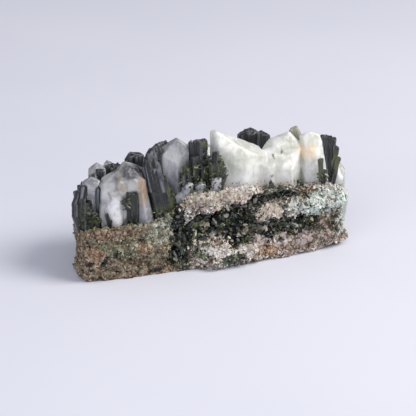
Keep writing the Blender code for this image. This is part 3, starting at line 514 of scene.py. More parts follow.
rough_tree, given, result = new_tree(
    "rough_rock",
    {"Lump size": "Float", "Lump height": "Float", "Grain size": "Float", "Grain height": "Float",
     "Pit depth": "Float", "Material": "Material"},
)
sizes = given.outputs
where = add(rough_tree, "GeometryNodeInputPosition").outputs[0]
facing = add(rough_tree, "GeometryNodeInputNormal").outputs[0]
lump_scale, grain_scale = (
    add(rough_tree, "ShaderNodeMath", {0: 1.0, 1: sizes[name]}, operation="DIVIDE").outputs[0]
    for name in ("Lump size", "Grain size")
)
lumps = add(rough_tree, "ShaderNodeTexNoise", {"Vector": where, "Scale": lump_scale, "Detail": 4.0})
swell = add(rough_tree, "ShaderNodeMath", {0: lumps.outputs[0], 1: 0.5}, operation="SUBTRACT")
lump_rise = add(
    rough_tree, "ShaderNodeMath", {0: swell.outputs[0], 1: sizes["Lump height"]}, operation="MULTIPLY"
)
grains = add(rough_tree, "ShaderNodeTexVoronoi", {"Vector": where, "Scale": grain_scale})
dome = add(rough_tree, "ShaderNodeMath", {0: 0.45, 1: grains.outputs["Distance"]}, operation="SUBTRACT")
grain_rise = add(
    rough_tree, "ShaderNodeMath",
    {0: dome.outputs[0], 1: sizes["Grain height"], 2: lump_rise.outputs[0]}, operation="MULTIPLY_ADD",
)
pit_noise = add(rough_tree, "ShaderNodeTexNoise", {"Vector": where, "Scale": PITS, "Detail": 2.0})
pits = add(
    rough_tree, "ShaderNodeMapRange",
    {"Value": pit_noise.outputs[0], "From Min": 0.60, "From Max": 0.72, "To Min": 0.0, "To Max": -1.0},
)
rise = add(
    rough_tree, "ShaderNodeMath",
    {0: pits.outputs[0], 1: sizes["Pit depth"], 2: grain_rise.outputs[0]}, operation="MULTIPLY_ADD",
).outputs[0]
push = add(rough_tree, "ShaderNodeVectorMath", {0: facing, 3: rise}, operation="SCALE").outputs[0]
# The height is kept for the rock's finish, which paints shade into the hollows with it.
height_mm = add(rough_tree, "ShaderNodeMath", {0: rise, 1: 1 / MM}, operation="MULTIPLY").outputs[0]
marked = add(
    rough_tree, "GeometryNodeStoreNamedAttribute",
    {0: given.outputs[0], "Name": "height", "Value": height_mm}, data_type="FLOAT", domain="POINT",
)
moved = add(rough_tree, "GeometryNodeSetPosition", {0: marked.outputs[0], "Offset": push})
real = add(rough_tree, "GeometryNodeRealizeInstances", {0: moved.outputs[0]}).outputs[0]
dressed = add(rough_tree, "GeometryNodeSetMaterial", {0: real, "Material": sizes["Material"]})
rough_tree.links.new(dressed.outputs[0], result.inputs[0])
print(rough_tree.name, len(rough_tree.nodes), "nodes")

# %% Roughen the slab
def roughened(node, voxel, lump, lump_height, grain, grain_height, pit_depth, material):
    """A copy of a solid, remeshed and roughened. All sizes are in mm."""
    values = {
        "Lump size": lump * MM, "Lump height": lump_height * MM, "Grain size": grain * MM,
        "Grain height": grain_height * MM, "Pit depth": pit_depth * MM, "Material": material,
    }
    return run_tree(remeshed(welded(node), voxel * MM), rough_tree, values)


rock_mesh = roughened(
    "matrix", voxel=0.38, lump=3.0, lump_height=1.8, grain=1.0, grain_height=0.5, pit_depth=0.9,
    material=rock_material,
)
set_points(rock_mesh, points_of(rock_mesh))
piece("rock", rock_mesh, ["matrix"])

# %% [markdown]
# ## Epidote: the finish
# Epidote is a dark pistachio-green mineral, nearly black where it's thick, with a glassy lustre. Its
# prisms are grooved along their length, and each groove catches a thin line of light. The grooves are
# cut in the mesh below, which also keeps their height as an attribute, so that the material can paint
# a grey highlight on the ridges and near-black shade in the grooves. Tints at some places bring out the
# green, and a few darken a crystal nearly to black.

# %% Epidote
EPIDOTE_IOR = 1.75

# Each tint: its colour, its centre and half sizes in mm, how soft its edge is, and its strength.
GREEN_TINTS = [
    ("#7C8250", (-3.8, -7.7, 31.6), (1.2, 2, 0.8), 0.6, 0.7),
    ("#565C38", (-9.1, -8.8, 26.2), (1.5, 3, 1.7), 0.6, 0.7),
    ("#6A7044", (-6.8, -9.8, 26.0), (0.4, 3, 2.6), 0.6, 0.7),
    ("#5C6240", (-3.0, -9.0, 25.2), (1.6, 3, 2.6), 0.7, 0.6),
    ("#4A5034", (-0.6, -11.0, 24.6), (1.8, 3, 3.2), 0.7, 0.6),
    ("#666C42", (-13.2, -10, 22.0), (0.9, 5, 6.5), 0.7, 0.6),
    ("#525838", (-15.2, -10, 15.8), (3.2, 5, 1.6), 0.7, 0.5),
    ("#181C15", (-24, -11, 18.0), (4.4, 4, 6.5), 0.4, 0.85),
    ("#15181A", (-5.5, -8, 28.0), (5.0, 4, 6.0), 0.5, 0.6),
    ("#141518", (-20.0, 3.4, 25.0), (5.0, 6, 2.4), 0.4, 0.8),
    ("#16181B", (13.5, 3.0, 27.6), (5.5, 6, 2.6), 0.5, 0.6),
    ("#5E6440", (34.6, -6, 22.0), (1.0, 6, 3.0), 0.6, 0.7),
    ("#50563A", (27.6, -10.5, 23.0), (1.8, 4, 3.2), 0.6, 0.7),
    ("#B7B8A6", (26.4, 0.5, 29.0), (3.5, 5, 3.5), 0.5, 0.5),
    ("#3F4533", (-35, -8, 15.6), (2.8, 5, 3.0), 0.6, 0.6),
]


def epidote_finish(name, ridge, body, groove_shade, rough):
    """Dark epidote, with a painted grey highlight on the ridges and painted shade in the grooves. The
    grooves, 0.2 mm on a real prism, are drawn 0.6 mm wide so that they show.
    """
    made, tree, shader = new_material(name)
    mm, ragged = place_in_mm(tree, wobble=1.2, size=2.2)
    height = add(tree, "ShaderNodeAttribute", attribute_name="ridge").outputs["Fac"]
    # The ridge height picks the colour: painted highlight on the ridges, painted shade in the grooves.
    painted_relief = add(tree, "ShaderNodeValToRGB", {0: height}, [(0.15, groove_shade), (0.5, body), (0.85, ridge)])
    # Slow clouds darken the colour at random, towards the colour of the grooves' painted shade.
    cloud = add(tree, "ShaderNodeTexNoise", {"Vector": mm, "Scale": 0.35, "Detail": 4.0}).outputs[0]
    dark = add(tree, "ShaderNodeMapRange", {"Value": cloud, "From Min": 0.45, "From Max": 0.7})
    colour = blend_in(tree, dark.outputs[0], painted_relief.outputs[0], groove_shade, 0.7)
    flecks = add(tree, "ShaderNodeTexNoise", {"Vector": mm, "Scale": 1.3, "Detail": 2.0}).outputs[0]
    green = add(tree, "ShaderNodeMapRange", {"Value": flecks, "From Min": 0.62, "From Max": 0.72})
    colour = blend_in(tree, green.outputs[0], colour, "#4A5036", 0.5)
    tree.links.new(tinted(tree, ragged, colour, GREEN_TINTS), shader.inputs["Base Color"])
    shader.inputs["IOR"].default_value = EPIDOTE_IOR
    shader.inputs["Specular IOR Level"].default_value = 0.35
    gloss = {"Value": flecks, "To Min": rough - 0.1, "To Max": rough + 0.15}
    tree.links.new(add(tree, "ShaderNodeMapRange", gloss).outputs[0], shader.inputs["Roughness"])
    return made


# Dark epidote: near black with a half-glossy face, and long grey lines of painted highlight on its
# ridges.
dark_epidote = epidote_finish("dark_epidote", "#6E7178", "#2C2F32", "#0D0F0E", 0.36)
# A weathered prism: the same mineral, pale grey-green and duller, with the same painted highlight and
# shade.
grey_epidote = epidote_finish("grey_epidote", "#C9C8BE", "#A6A698", "#6E7060", 0.42)
print("green tints:", len(GREEN_TINTS))

# %% [markdown]
# ## Epidote: the grooves
# A groove runs along its own crystal, and the crystals of a bundle lean different ways, so one
# stretched texture can't follow them all. Here each point of the mesh takes the direction of the
# longest sharp edge near it, which lies along its crystal. A noise that hardly changes along that
# direction then gives long straight ridges, and steps on the crystal's end. A coarser noise, made
# steep, leaves shallow flakes where splinters have come off.

# %% Which way each crystal runs
SHARP = math.radians(14)  # faces that meet at more than this make an edge


def crystal_edges(mesh, least):
    """Start, direction and length of the sharp edges, down to this share of the longest one."""
    bm = bmesh.new()
    bm.from_mesh(mesh)
    found = []
    for edge in bm.edges:
        if len(edge.link_faces) == 2 and edge.calc_face_angle(0) > SHARP:
            a, b = edge.verts[0].co, edge.verts[1].co
            found.append((*a, *b, (b - a).length))
    bm.free()
    found = np.array(sorted(found, key=lambda e: -e[-1]))
    longest = found[found[:, 6] > least * found[0, 6]]
    start = longest[:, :3]
    along = longest[:, 3:6] - start
    return start, along / longest[:, 6:], longest[:, 6]


def nearest_edge(co, start, along, length):
    """For each point, the direction of the nearest long edge and how far away it is."""
    best = np.full(len(co), np.inf)
    which = np.zeros(len(co), int)
    for i in range(len(start)):
        off = co - start[i]
        t = np.clip(off @ along[i], 0, length[i])
        far = np.linalg.norm(off - t[:, None] * along[i], axis=1)
        nearer = far < best
        best[nearer], which[nearer] = far[nearer], i
    return along[which], best


# %% Cut the grooves
EPIDOTE_VOXEL = 0.21 * MM
LONG_EDGE = 0.35  # an edge counts from this share of the longest one
GROOVE, GROOVE_DEPTH = 0.62 * MM, 0.12 * MM
LINE, SHORT_LINE = 30, 12  # how many grooves' widths the wide and the thin lines are long
THINNER = 2.1  # times as many thin lines as wide ones
FLAKE, FLAKE_DEPTH = 1.5 * MM, 0.08 * MM
FLAKE_LENGTH = 3.2  # times its width
END_STEP = 0.45 * MM
SWELL = 0.10 * MM  # the blade grows by this first, because the grooves take some of it away


def noise_at(x, y, z):
    """A smooth noise, from -1 to 1, at each of the points with these coordinates."""
    return np.array([noise.noise(point) for point in zip(x, y, z)])


def grooved(node, depth):
    """A copy of a blade or bundle with grooves along each crystal, cut by this share of their depth."""
    solid = welded(node)
    start, along, length = crystal_edges(solid, LONG_EDGE)
    mesh = remeshed(solid, EPIDOTE_VOXEL)
    co, normal = points_of(mesh), normals_of(mesh)
    axis, _ = nearest_edge(co, start, along, length)
    # Every crystal is taken to run upwards, so that the grooves of neighbours line up.
    axis *= np.sign(axis[:, 2:] + 1e-9)
    side = np.cross(axis, (0, 1, 0))
    side /= np.linalg.norm(side, axis=1)[:, None]
    other = np.cross(axis, side)
    u, v, w = ((co * way).sum(1) for way in (side, other, axis))
    wide = noise_at(u / GROOVE, v / GROOVE, w / (LINE * GROOVE))
    thin = noise_at(u / GROOVE * THINNER, v / GROOVE * THINNER, 9.0 + w / (SHORT_LINE * GROOVE))
    # The tanh makes a noise's slopes steep, and its heights and depths flat.
    ridge = np.tanh(2.4 * (wide + 0.5 * thin))
    flake = np.tanh(7 * (noise_at(u / FLAKE, v / FLAKE, w / (FLAKE_LENGTH * FLAKE)) + 0.05))
    # On a crystal's end the grooves turn into steps, as the ends of its splinters.
    at_end = np.abs((normal * axis).sum(1)) ** 2
    push = SWELL * depth + depth * GROOVE_DEPTH * ridge * (1 - at_end) + FLAKE_DEPTH * flake
    push += depth * END_STEP * (0.6 * ridge - 0.5) * at_end
    set_points(mesh, co + normal * push[:, None])
    # The finish reads this height to paint highlight on the ridges and shade in the grooves.
    set_attribute(mesh, "ridge", 0.5 + 0.5 * ridge)
    return mesh


# %% Groove every blade
BLOCKY = ("epidote_top_block", "epidote_behind_clear", "epidote_small_prism", "epidote_crescent")
SHALLOW = 0.45  # the share of the grooves' depth that these smoother crystals get

for node in sorted(n for n in nodes if n.startswith("epidote_")):
    mesh = grooved(node, SHALLOW if node in BLOCKY else 1.0)
    mesh.materials.append(grey_epidote if node == "epidote_small_prism" else dark_epidote)
    piece("grooved_" + node[len("epidote_"):], mesh, [node])

# %% [markdown]
# ## Quartz: the finish
# Quartz is clear silica with a glassy surface. Here it's seldom clear all through: tiny bubbles and
# healed cracks make it grey or milk white. The grey crystals let half of the light through, with the
# refraction of real quartz, 1.544, and a slow noise mixes white haze into the rest. Healed cracks are
# thin walls inside the crystal that flash white, and the flash is a painted highlight: the borders of a
# cell pattern draw them, and the haze cuts them into short pieces. The milky group scatters the light
# close under its surface instead, so it looks soft and slightly greenish white.

# %% Quartz finish
QUARTZ_IOR = 1.544
CRACKS_APART = 3.2  # mm


def quartz_finish(name, body, haze, through, stains_and_painted_light, rough, worn_edge=0.6, crack_flashes=0.75):
    """Quartz: white haze, patches of stain and painted light, streaks along the crystal, healed cracks
    with a painted white flash, and pale edges, partly wear and partly painted highlight.
    """
    made, tree, shader = new_material(name)
    mm, ragged = place_in_mm(tree, wobble=1.4, size=3.0)
    slow = {"Vector": mm, "Scale": 0.30, "Detail": 5.0, "Distortion": 0.6}
    cloud = add(tree, "ShaderNodeTexNoise", slow).outputs[0]
    cloudy = add(tree, "ShaderNodeMapRange", {"Value": cloud, "From Min": 0.42, "From Max": 0.62})
    colour = tinted(tree, ragged, blend_in(tree, cloudy.outputs[0], body, haze), stains_and_painted_light)
    drawn = add(tree, "ShaderNodeMapping", {"Vector": ragged, "Scale": (1.1, 1.1, 0.25)}).outputs[0]
    streak = add(tree, "ShaderNodeTexNoise", {"Vector": drawn, "Scale": 0.9, "Detail": 4.0}).outputs[0]
    for start, end, code, strength in ((0.50, 0.66, haze, 0.45), (0.46, 0.34, body, 0.5)):
        streaks = add(tree, "ShaderNodeMapRange", {"Value": streak, "From Min": start, "From Max": end})
        colour = blend_in(tree, streaks.outputs[0], colour, code, strength)
    # Painted highlight: the white flash of light off the healed cracks inside the crystal.
    walls = {"Vector": ragged, "Scale": 1 / CRACKS_APART}
    healed = add(tree, "ShaderNodeTexVoronoi", walls, feature="DISTANCE_TO_EDGE").outputs["Distance"]
    flash = add(tree, "ShaderNodeMapRange", {"Value": healed, "From Min": 0.03, "From Max": 0.0})
    here = add(tree, "ShaderNodeMapRange", {"Value": cloud, "From Min": 0.52, "From Max": 0.60})
    short = add(tree, "ShaderNodeMath", {0: flash.outputs[0], 1: here.outputs[0]}, operation="MULTIPLY")
    colour = blend_in(tree, short.outputs[0], colour, "#FFFFFF", crack_flashes)
    # Pale edges: partly the white of chipped wear, partly a painted highlight where the edges catch
    # light.
    edge = add(tree, "ShaderNodeAttribute", attribute_name="edge").outputs["Fac"]
    colour = blend_in(tree, edge, colour, "#F6F6F8", worn_edge)
    tree.links.new(colour, shader.inputs["Base Color"])
    shader.inputs["IOR"].default_value = QUARTZ_IOR
    shader.inputs["Transmission Weight"].default_value = through
    wavy = add(tree, "ShaderNodeTexNoise", {"Vector": mm, "Scale": 0.9, "Detail": 3.0}).outputs[0]
    shine = add(tree, "ShaderNodeMapRange", {"Value": wavy, "To Min": rough, "To Max": rough + 0.2})
    tree.links.new(shine.outputs[0], shader.inputs["Roughness"])
    bump = add(tree, "ShaderNodeBump", {"Height": wavy, "Strength": 0.5, "Distance": 0.12 * MM})
    tree.links.new(bump.outputs[0], shader.inputs["Normal"])
    return made


# %% [markdown]
# ## Quartz: grey, milky and pale
# One crystal is smoky at the top, peach where iron has crept in, and white where it's full of bubbles.
# Each such place is a stain, laid on with the soft patches. Real smoke and bubbles lie deep inside, and
# a volume could show them, but it would be slow and the exported model would lose it. So the stains are
# on the surface, where half of the light that comes back picks them up.

# %% Grey and clear quartz
# Each stain or painted highlight: its colour, its centre and half sizes in mm, how soft its edge is, and
# its strength.
CLEAR_STAINS_AND_HIGHLIGHTS = [
    # Painted highlight: the bright, silvery upper left face of the clear crystal.
    ("#F2F2F4", (-29.4, -5.5, 24.0), (2.6, 4, 2.0), 0.5, 0.8),
    ("#24262B", (-23.6, -7.0, 26.0), (4.8, 4, 2.4), 0.5, 0.95),
    ("#34363C", (-20.0, -6.6, 25.4), (2.2, 4, 2.0), 0.5, 0.8),
    ("#F0EFF0", (-23.4, -7.6, 23.2), (2.2, 2, 0.9), 0.6, 0.8),
    ("#5C5E64", (-22.4, -7.8, 24.6), (0.9, 2, 1.2), 0.5, 0.8),
    ("#D8C3A4", (-25.4, -7.5, 23.0), (1.0, 4, 3.0), 0.6, 0.7),
    ("#E2B98C", (-20.9, -9.8, 21.6), (1.3, 4, 4.4), 0.45, 0.85),
    ("#C2C1CC", (-20.5, -10.2, 16.2), (1.6, 4, 2.4), 0.4, 0.8),
    ("#FAFAFC", (-28.2, -9.3, 17.0), (3.4, 4, 4.4), 0.45, 1.0),
    ("#E4E1DE", (-31.0, -9.0, 15.0), (1.5, 4, 2.6), 0.6, 0.8),
    ("#9B9DA6", (-31.6, -4.8, 23.4), (2.2, 3, 1.8), 0.5, 0.8),
    ("#7B7E87", (-33.4, -5.2, 18.4), (2.0, 3, 3.6), 0.5, 0.7),
    # Painted glints: two small white sparks near the top of the clear crystal.
    ("#FFFFFF", (-22.2, -8.0, 23.8), (0.5, 2, 0.4), 0.4, 1.0),
    ("#FFFFFF", (-25.1, -7.4, 24.0), (0.4, 2, 0.5), 0.4, 1.0),
    ("#3A3C40", (-30.6, 1.8, 22.6), (2.2, 4, 1.5), 0.5, 0.6),
    # Painted highlight: the bright rim at the top of the grey middle crystal.
    ("#F2F3F5", (-14.4, -3.6, 30.6), (2.8, 4, 1.2), 0.5, 0.9),
    ("#DADBDE", (-12.6, -7.0, 28.0), (4.4, 4, 3.4), 0.5, 0.7),
    ("#7F828A", (-11.6, -7.6, 22.0), (2.6, 4, 2.6), 0.6, 0.6),
]
# Clear quartz: glassy and see-through at its edges, grey and clouded in its heart.
grey_quartz = quartz_finish(
    "grey_quartz", "#A4A6AD", "#EDEEF1", through=0.5, stains_and_painted_light=CLEAR_STAINS_AND_HIGHLIGHTS, rough=0.08
)
print("stains:", len(CLEAR_STAINS_AND_HIGHLIGHTS))

# %% Milky quartz
LIGHT_REACH = 5.0 * MM  # how far light spreads under the milky surface
MILKY_STAINS_AND_PAINTED_LIGHT = [
    ("#FCE2BF", (25.4, -7.8, 26.6), (2.6, 4, 1.9), 0.6, 0.85),
    ("#F3E6D4", (23.6, -8.0, 25.0), (1.4, 4, 1.6), 0.7, 0.5),
    ("#DCD9D6", (25.2, -8.6, 22.6), (3.6, 3, 1.2), 0.7, 0.4),
    # Partly a white crust at the foot, partly painted light that lifts the lower faces turned from the
    # lamp.
    ("#EDEDEF", (6.5, -10, 20.6), (7.0, 5, 2.6), 0.7, 0.8),
    ("#E6E4E2", (17.0, -9, 19.6), (6.0, 5, 2.6), 0.7, 0.8),
    ("#D5D9C4", (7.0, -8.5, 27.0), (4.0, 4, 3.0), 0.8, 0.4),
    ("#5A6238", (16.3, -7.0, 26.0), (0.35, 3, 0.6), 0.4, 0.9),
    ("#5A6238", (14.6, -8.9, 21.7), (0.55, 3, 0.6), 0.4, 0.9),
    ("#5A6238", (18.6, -6.4, 26.9), (0.3, 3, 0.7), 0.4, 0.8),
    ("#F0E0D2", (16.0, -8.8, 18.6), (6.0, 4, 0.8), 0.6, 0.5),
]
# Milky quartz: light sinks in and comes out softened, under a faint wet-looking gloss.
milky_quartz = quartz_finish(
    "milky_quartz", "#C6C9BF", "#EFEFEC", through=0.0, stains_and_painted_light=MILKY_STAINS_AND_PAINTED_LIGHT, rough=0.26,
    worn_edge=0.3, crack_flashes=0.3,
)
milky = milky_quartz.node_tree.nodes["Principled BSDF"].inputs
milky["Subsurface Weight"].default_value = 1.0
milky["Subsurface Radius"].default_value = (1.0, 0.97, 0.9)
milky["Subsurface Scale"].default_value = LIGHT_REACH
milky["Coat Weight"].default_value = 0.35
milky["Coat Roughness"].default_value = 0.1
print("stains:", len(MILKY_STAINS_AND_PAINTED_LIGHT))

# %% Pale quartz at the right end
PALE_STAINS = [
    ("#F4F6F2", (35.0, -5.6, 19.0), (2.0, 4, 5.0), 0.6, 0.6),
    ("#D9C6BC", (35.4, -5.6, 15.0), (1.6, 4, 1.6), 0.6, 0.6),
]
# Pale quartz: nearly white, with a glassy face and a trace of pink near its foot.
pale_quartz = quartz_finish(
    "pale_quartz", "#E2E8E0", "#FAFBF8", through=0.5, stains_and_painted_light=PALE_STAINS, rough=0.12
)
print("stains:", len(PALE_STAINS))

# %% [markdown]
# ## Quartz: worn edges
# The solid's edges are perfectly sharp, and real ones are chipped and rounded by a few tenths of a
# millimetre, so that they catch a thin line of light. A bevel would round every edge alike. So the copy
# is remeshed and smoothed a little instead. The faces carry faint ripples across the crystal, left by
# its growth: a noise that is squeezed in height, as the crystals stand nearly upright. How near each
# point is to an edge is kept for the material, broken up as chips are, and there the material paints
# the edge pale: partly the white of chipped wear, partly a painted highlight.

# %% Wear the crystals
QUARTZ_VOXEL = 0.30 * MM
ANY_EDGE = 0.05  # an edge counts from this share of the longest one
SMOOTHING = 2  # rounds
GROW = 0.04 * MM  # makes up for what the smoothing takes away
RIPPLE, MILKY_RIPPLE = 0.06 * MM, 0.11 * MM
# The pale band along the edges is partly wear and partly painted highlight.
WEAR_AND_HIGHLIGHT_BAND = 0.45 * MM  # how far from an edge it's pale
LUMPY = 5  # how many ripples high the lumps of the small crystals are


def worn(node, high):
    """A copy of a crystal with rounded edges and faces with ripples this high."""
    solid = welded(node)
    start, along, length = crystal_edges(solid, ANY_EDGE)
    obj = link_new("wearing", remeshed(solid, QUARTZ_VOXEL))
    soften = obj.modifiers.new("soften", "SMOOTH")
    soften.factor, soften.iterations = 0.5, SMOOTHING
    mesh = plain_mesh(obj)
    co, normal = points_of(mesh), normals_of(mesh)
    _, far = nearest_edge(co, start, along, length)
    ripple = noise_at(*(co / MM * (0.35, 0.35, 1.1)).T)
    if "_small_" in node:
        ripple += LUMPY * noise_at(*(co / MM * 0.8).T)
    set_points(mesh, co + normal * (GROW + high * ripple)[:, None])
    # The pale edge band, wear and painted highlight together, broken up in patches.
    chips_and_glints = noise_at(*(co / MM * 0.9).T) + 0.5
    set_attribute(mesh, "edge", np.clip(1.2 - far / WEAR_AND_HIGHLIGHT_BAND, 0, 1) * np.clip(chips_and_glints, 0, 1))
    mesh.polygons.foreach_set("use_smooth", np.ones(len(mesh.polygons), bool))
    return mesh


finishes = {"quartz_milky": milky_quartz, "quartz_right_end": pale_quartz}
for node in sorted(n for n in nodes if n.startswith("quartz_")):
    mesh = worn(node, MILKY_RIPPLE if node == "quartz_milky" else RIPPLE)
    mesh.materials.append(finishes.get(node, grey_quartz))
    piece("worn_" + node[len("quartz_"):], mesh, [node])

# %% [markdown]
# ## Quartz: milky veils
# Where a crystal is cloudy, bubbles lie in a sheet just under one of its faces. Such a veil could be a
# patch of white colour, but then nothing would show through it. Here it's a ragged part of the
# crystal's own skin with a thickness of its own. Three veils lie a third to half a millimetre inside,
# so that they show through the clear surface. The two whitest, the frost on the clear crystal and the
# veil at the right end, lie on the face as a thin film, because little light gets to a deeper one.

# %% Hang the veils
VEIL_THICKNESS = 0.15 * MM
# Each veil: its crystal, how deep it lies in mm, below 0 where it's a film on the face, and its spots,
# by centre and half sizes in mm.
VEILS = {
    "frost": ("clear_pair", -0.13, [((-27.6, -9.3, 16.8), (3.0, 4, 4.2))]),
    "clear": ("clear_pair", 0.5, [((-30.6, -6.0, 22.6), (1.6, 4, 1.8)),
                                  ((-20.2, -10.2, 16.6), (1.2, 4, 2.6))]),
    "middle": ("grey_middle", 0.3, [((-13.4, -6.8, 28.6), (3.6, 4, 2.6)),
                                    ((-10.4, -5.6, 31.2), (2.4, 4, 1.0))]),
    "left": ("grey_left", 0.4, [((-32.0, -5.0, 22.6), (1.6, 3, 1.6))]),
    "right": ("right_end", -0.13, [((35.2, -5.6, 18.6), (1.6, 4, 4.0)),
                                   ((36.0, -6.0, 12.0), (1.2, 4, 2.0))]),
}


def around(co, spots):
    """For each point, 1 deep inside one of the ellipsoids, 0 well outside them, and a slope between.

    Each spot is an ellipsoid, given by its centre and half sizes in mm.
    """
    best = np.full(len(co), np.inf)
    for centre, size in spots:
        best = np.minimum(best, np.linalg.norm((co / MM - centre) / size, axis=1))
    return np.clip(1.6 - best, 0, 1)


def veil(mesh, depth, spots):
    """A thin closed shell, depth mm under the part of the surface in the spots, with a ragged edge."""
    co = points_of(mesh)
    ragged = noise_at(*(co / MM * 0.7).T)
    inside = around(co, spots) + 0.5 * ragged > 0.5
    bm = bmesh.new()
    bm.from_mesh(mesh)
    outside = [v for v, keep in zip(bm.verts, inside) if not keep]
    bmesh.ops.delete(bm, geom=outside, context="VERTS")
    for v in bm.verts:
        v.co -= v.normal * depth * MM
    bmesh.ops.solidify(bm, geom=bm.faces, thickness=VEIL_THICKNESS)
    bmesh.ops.recalc_face_normals(bm, faces=bm.faces)
    made = bpy.data.meshes.new("veil")
    bm.to_mesh(made)
    bm.free()
    return made


# Milky veil: chalky and matt, white in the middle of a spot and fading to the grey of the crystal.
veil_material, tree, shader = new_material("milky_veil")
_, ragged = place_in_mm(tree, wobble=1.0, size=1.5)
cloud = add(tree, "ShaderNodeTexNoise", {"Vector": ragged, "Scale": 0.8, "Detail": 3.0})
white = add(tree, "ShaderNodeValToRGB", {0: cloud.outputs[0]}, [(0.3, "#DCDDE0"), (0.6, "#FBFBFC")])
veil_colour = "#A3A5AB"
for _, _, spots in VEILS.values():
    for centre, size in spots:
        core = patch(tree, ragged, centre, [0.8 * half for half in size], 0.4)
        veil_colour = blend_in(tree, core, veil_colour, white.outputs[0])
tree.links.new(veil_colour, shader.inputs["Base Color"])
shader.inputs["Roughness"].default_value = 0.7
for name, (crystal, depth, spots) in VEILS.items():
    mesh = veil(bpy.data.objects["worn_" + crystal].data, depth, spots)
    mesh.materials.clear()
    mesh.materials.append(veil_material)
    piece("veil_" + name, mesh)

# %% [markdown]
# ## Small crystals and grains
# A hollow is lined with hundreds of small epidote prisms, and loose angular grains cling to the rock.
# Placing them by hand would take days. So one shape is made for each, with few faces, and a Geometry
# Nodes tree scatters it: points spread evenly over a surface, a random turn and size for each, all from
# a fixed seed.

# %% The shapes that are scattered
GRAIN_POINTS = 9
FIRST_GRAIN_SEED = 20


def prism_shape(name, sides, tall, taper):
    """A small closed crystal, one unit wide and rather flat, with a slanting end.

    It starts a little below 0, so that its root is hidden in what it grows from.
    """
    bm = bmesh.new()
    rings = []
    for z, r, slant in ((-0.3, 0.5, 0), (tall, 0.5 * taper, 0.5)):
        ring = []
        for i in range(sides):
            a = 2 * math.pi * i / sides
            x, y = r * math.cos(a), 0.7 * r * math.sin(a)
            ring.append(bm.verts.new((x, y, z + slant * x)))
        rings.append(ring)
    for i in range(sides):
        j = (i + 1) % sides
        bm.faces.new((rings[0][i], rings[0][j], rings[1][j], rings[1][i]))
    bm.faces.new(rings[1])
    bm.faces.new(rings[0][::-1])
    mesh = bpy.data.meshes.new(name)
    bm.to_mesh(mesh)
    bm.free()
    return link_new(name, mesh)


def grain_shape(name, points, seed):
    """An angular grain: the hull of a few random points, about one unit across."""
    rng = np.random.default_rng(seed)
    spots = rng.normal(size=(points, 3))
    spots /= np.linalg.norm(spots, axis=1)[:, None]
    spots *= rng.uniform(0.38, 0.55, (points, 1))
    bm = bmesh.new()
    for spot in spots:
        bm.verts.new(spot)
    hull = bmesh.ops.convex_hull(bm, input=bm.verts)
    unused = hull["geom_interior"] + hull["geom_unused"]
    inner = [part for part in unused if isinstance(part, bmesh.types.BMVert)]
    bmesh.ops.delete(bm, geom=inner, context="VERTS")
    bmesh.ops.recalc_face_normals(bm, faces=bm.faces)
    mesh = bpy.data.meshes.new(name)
    bm.to_mesh(mesh)
    bm.free()
    return link_new(name, mesh)


stub = prism_shape("stub", sides=6, tall=1.5, taper=0.85)
grain_a, grain_b, grain_c = (
    grain_shape("grain_%d" % i, GRAIN_POINTS, FIRST_GRAIN_SEED + i) for i in range(3)
)
print("triangles of each shape:", [triangles(s.data) for s in (stub, grain_a, grain_b, grain_c)])

# %% The scattering tree
DENSEST = 3.0e6  # points to the square metre, before the spacing thins them out

scatter_tree, given, result = new_tree(
    "scatter",
    {"Shape A": "Object", "Shape B": "Object", "Spacing": "Float", "Smallest": "Float",
     "Largest": "Float", "Lean": "Float", "Seed": "Int", "Keep surface": "Bool", "Material": "Material"},
)
share = add(scatter_tree, "GeometryNodeInputNamedAttribute", {"Name": "share"}, data_type="FLOAT")
sizes = given.outputs
spread = add(
    scatter_tree,
    "GeometryNodeDistributePointsOnFaces",
    {"Mesh": sizes[0], "Distance Min": sizes["Spacing"], "Density Max": DENSEST,
     "Density Factor": share.outputs[0], "Seed": sizes["Seed"]},
    distribute_method="POISSON",
)
shapes = add(scatter_tree, "GeometryNodeJoinGeometry")
for label in ("Shape B", "Shape A"):
    shape = add(scatter_tree, "GeometryNodeObjectInfo", {"Object": sizes[label], "As Instance": True})
    scatter_tree.links.new(shape.outputs["Geometry"], shapes.inputs[0])
turn = add(
    scatter_tree, "FunctionNodeRandomValue",
    {0: (-1, -1, -1), 1: (1, 1, 1), "Seed": sizes["Seed"]}, data_type="FLOAT_VECTOR",
)
push = {0: turn.outputs[0], 3: sizes["Lean"]}
lean = add(scatter_tree, "ShaderNodeVectorMath", push, operation="SCALE").outputs[0]
stand = add(scatter_tree, "ShaderNodeVectorMath", {0: spread.outputs["Normal"], 1: lean})
aim = add(scatter_tree, "FunctionNodeAlignRotationToVector", {"Vector": stand.outputs[0]}, axis="Z")
spin_by = add(
    scatter_tree, "FunctionNodeRandomValue",
    {2: 0.0, 3: 2 * math.pi, "Seed": sizes["Seed"]}, data_type="FLOAT",
)
spin_axis = add(scatter_tree, "ShaderNodeCombineXYZ", {"Z": spin_by.outputs[1]})
spin = add(scatter_tree, "FunctionNodeEulerToRotation", {0: spin_axis.outputs[0]})
turned = add(
    scatter_tree, "FunctionNodeRotateRotation",
    {0: aim.outputs[0], 1: spin.outputs[0]}, rotation_space="LOCAL",
)
size = add(
    scatter_tree, "FunctionNodeRandomValue",
    {2: sizes["Smallest"], 3: sizes["Largest"], "Seed": sizes["Seed"]}, data_type="FLOAT",
)
set_out = add(
    scatter_tree, "GeometryNodeInstanceOnPoints",
    {"Points": spread.outputs["Points"], "Instance": shapes.outputs[0], "Pick Instance": True,
     "Rotation": turned.outputs[0], "Scale": size.outputs[1]},
)
kept = add(
    scatter_tree, "GeometryNodeSwitch",
    {0: sizes["Keep surface"], "True": sizes[0]}, input_type="GEOMETRY",
)
both = add(scatter_tree, "GeometryNodeJoinGeometry")
scatter_tree.links.new(set_out.outputs[0], both.inputs[0])
scatter_tree.links.new(kept.outputs[0], both.inputs[0])
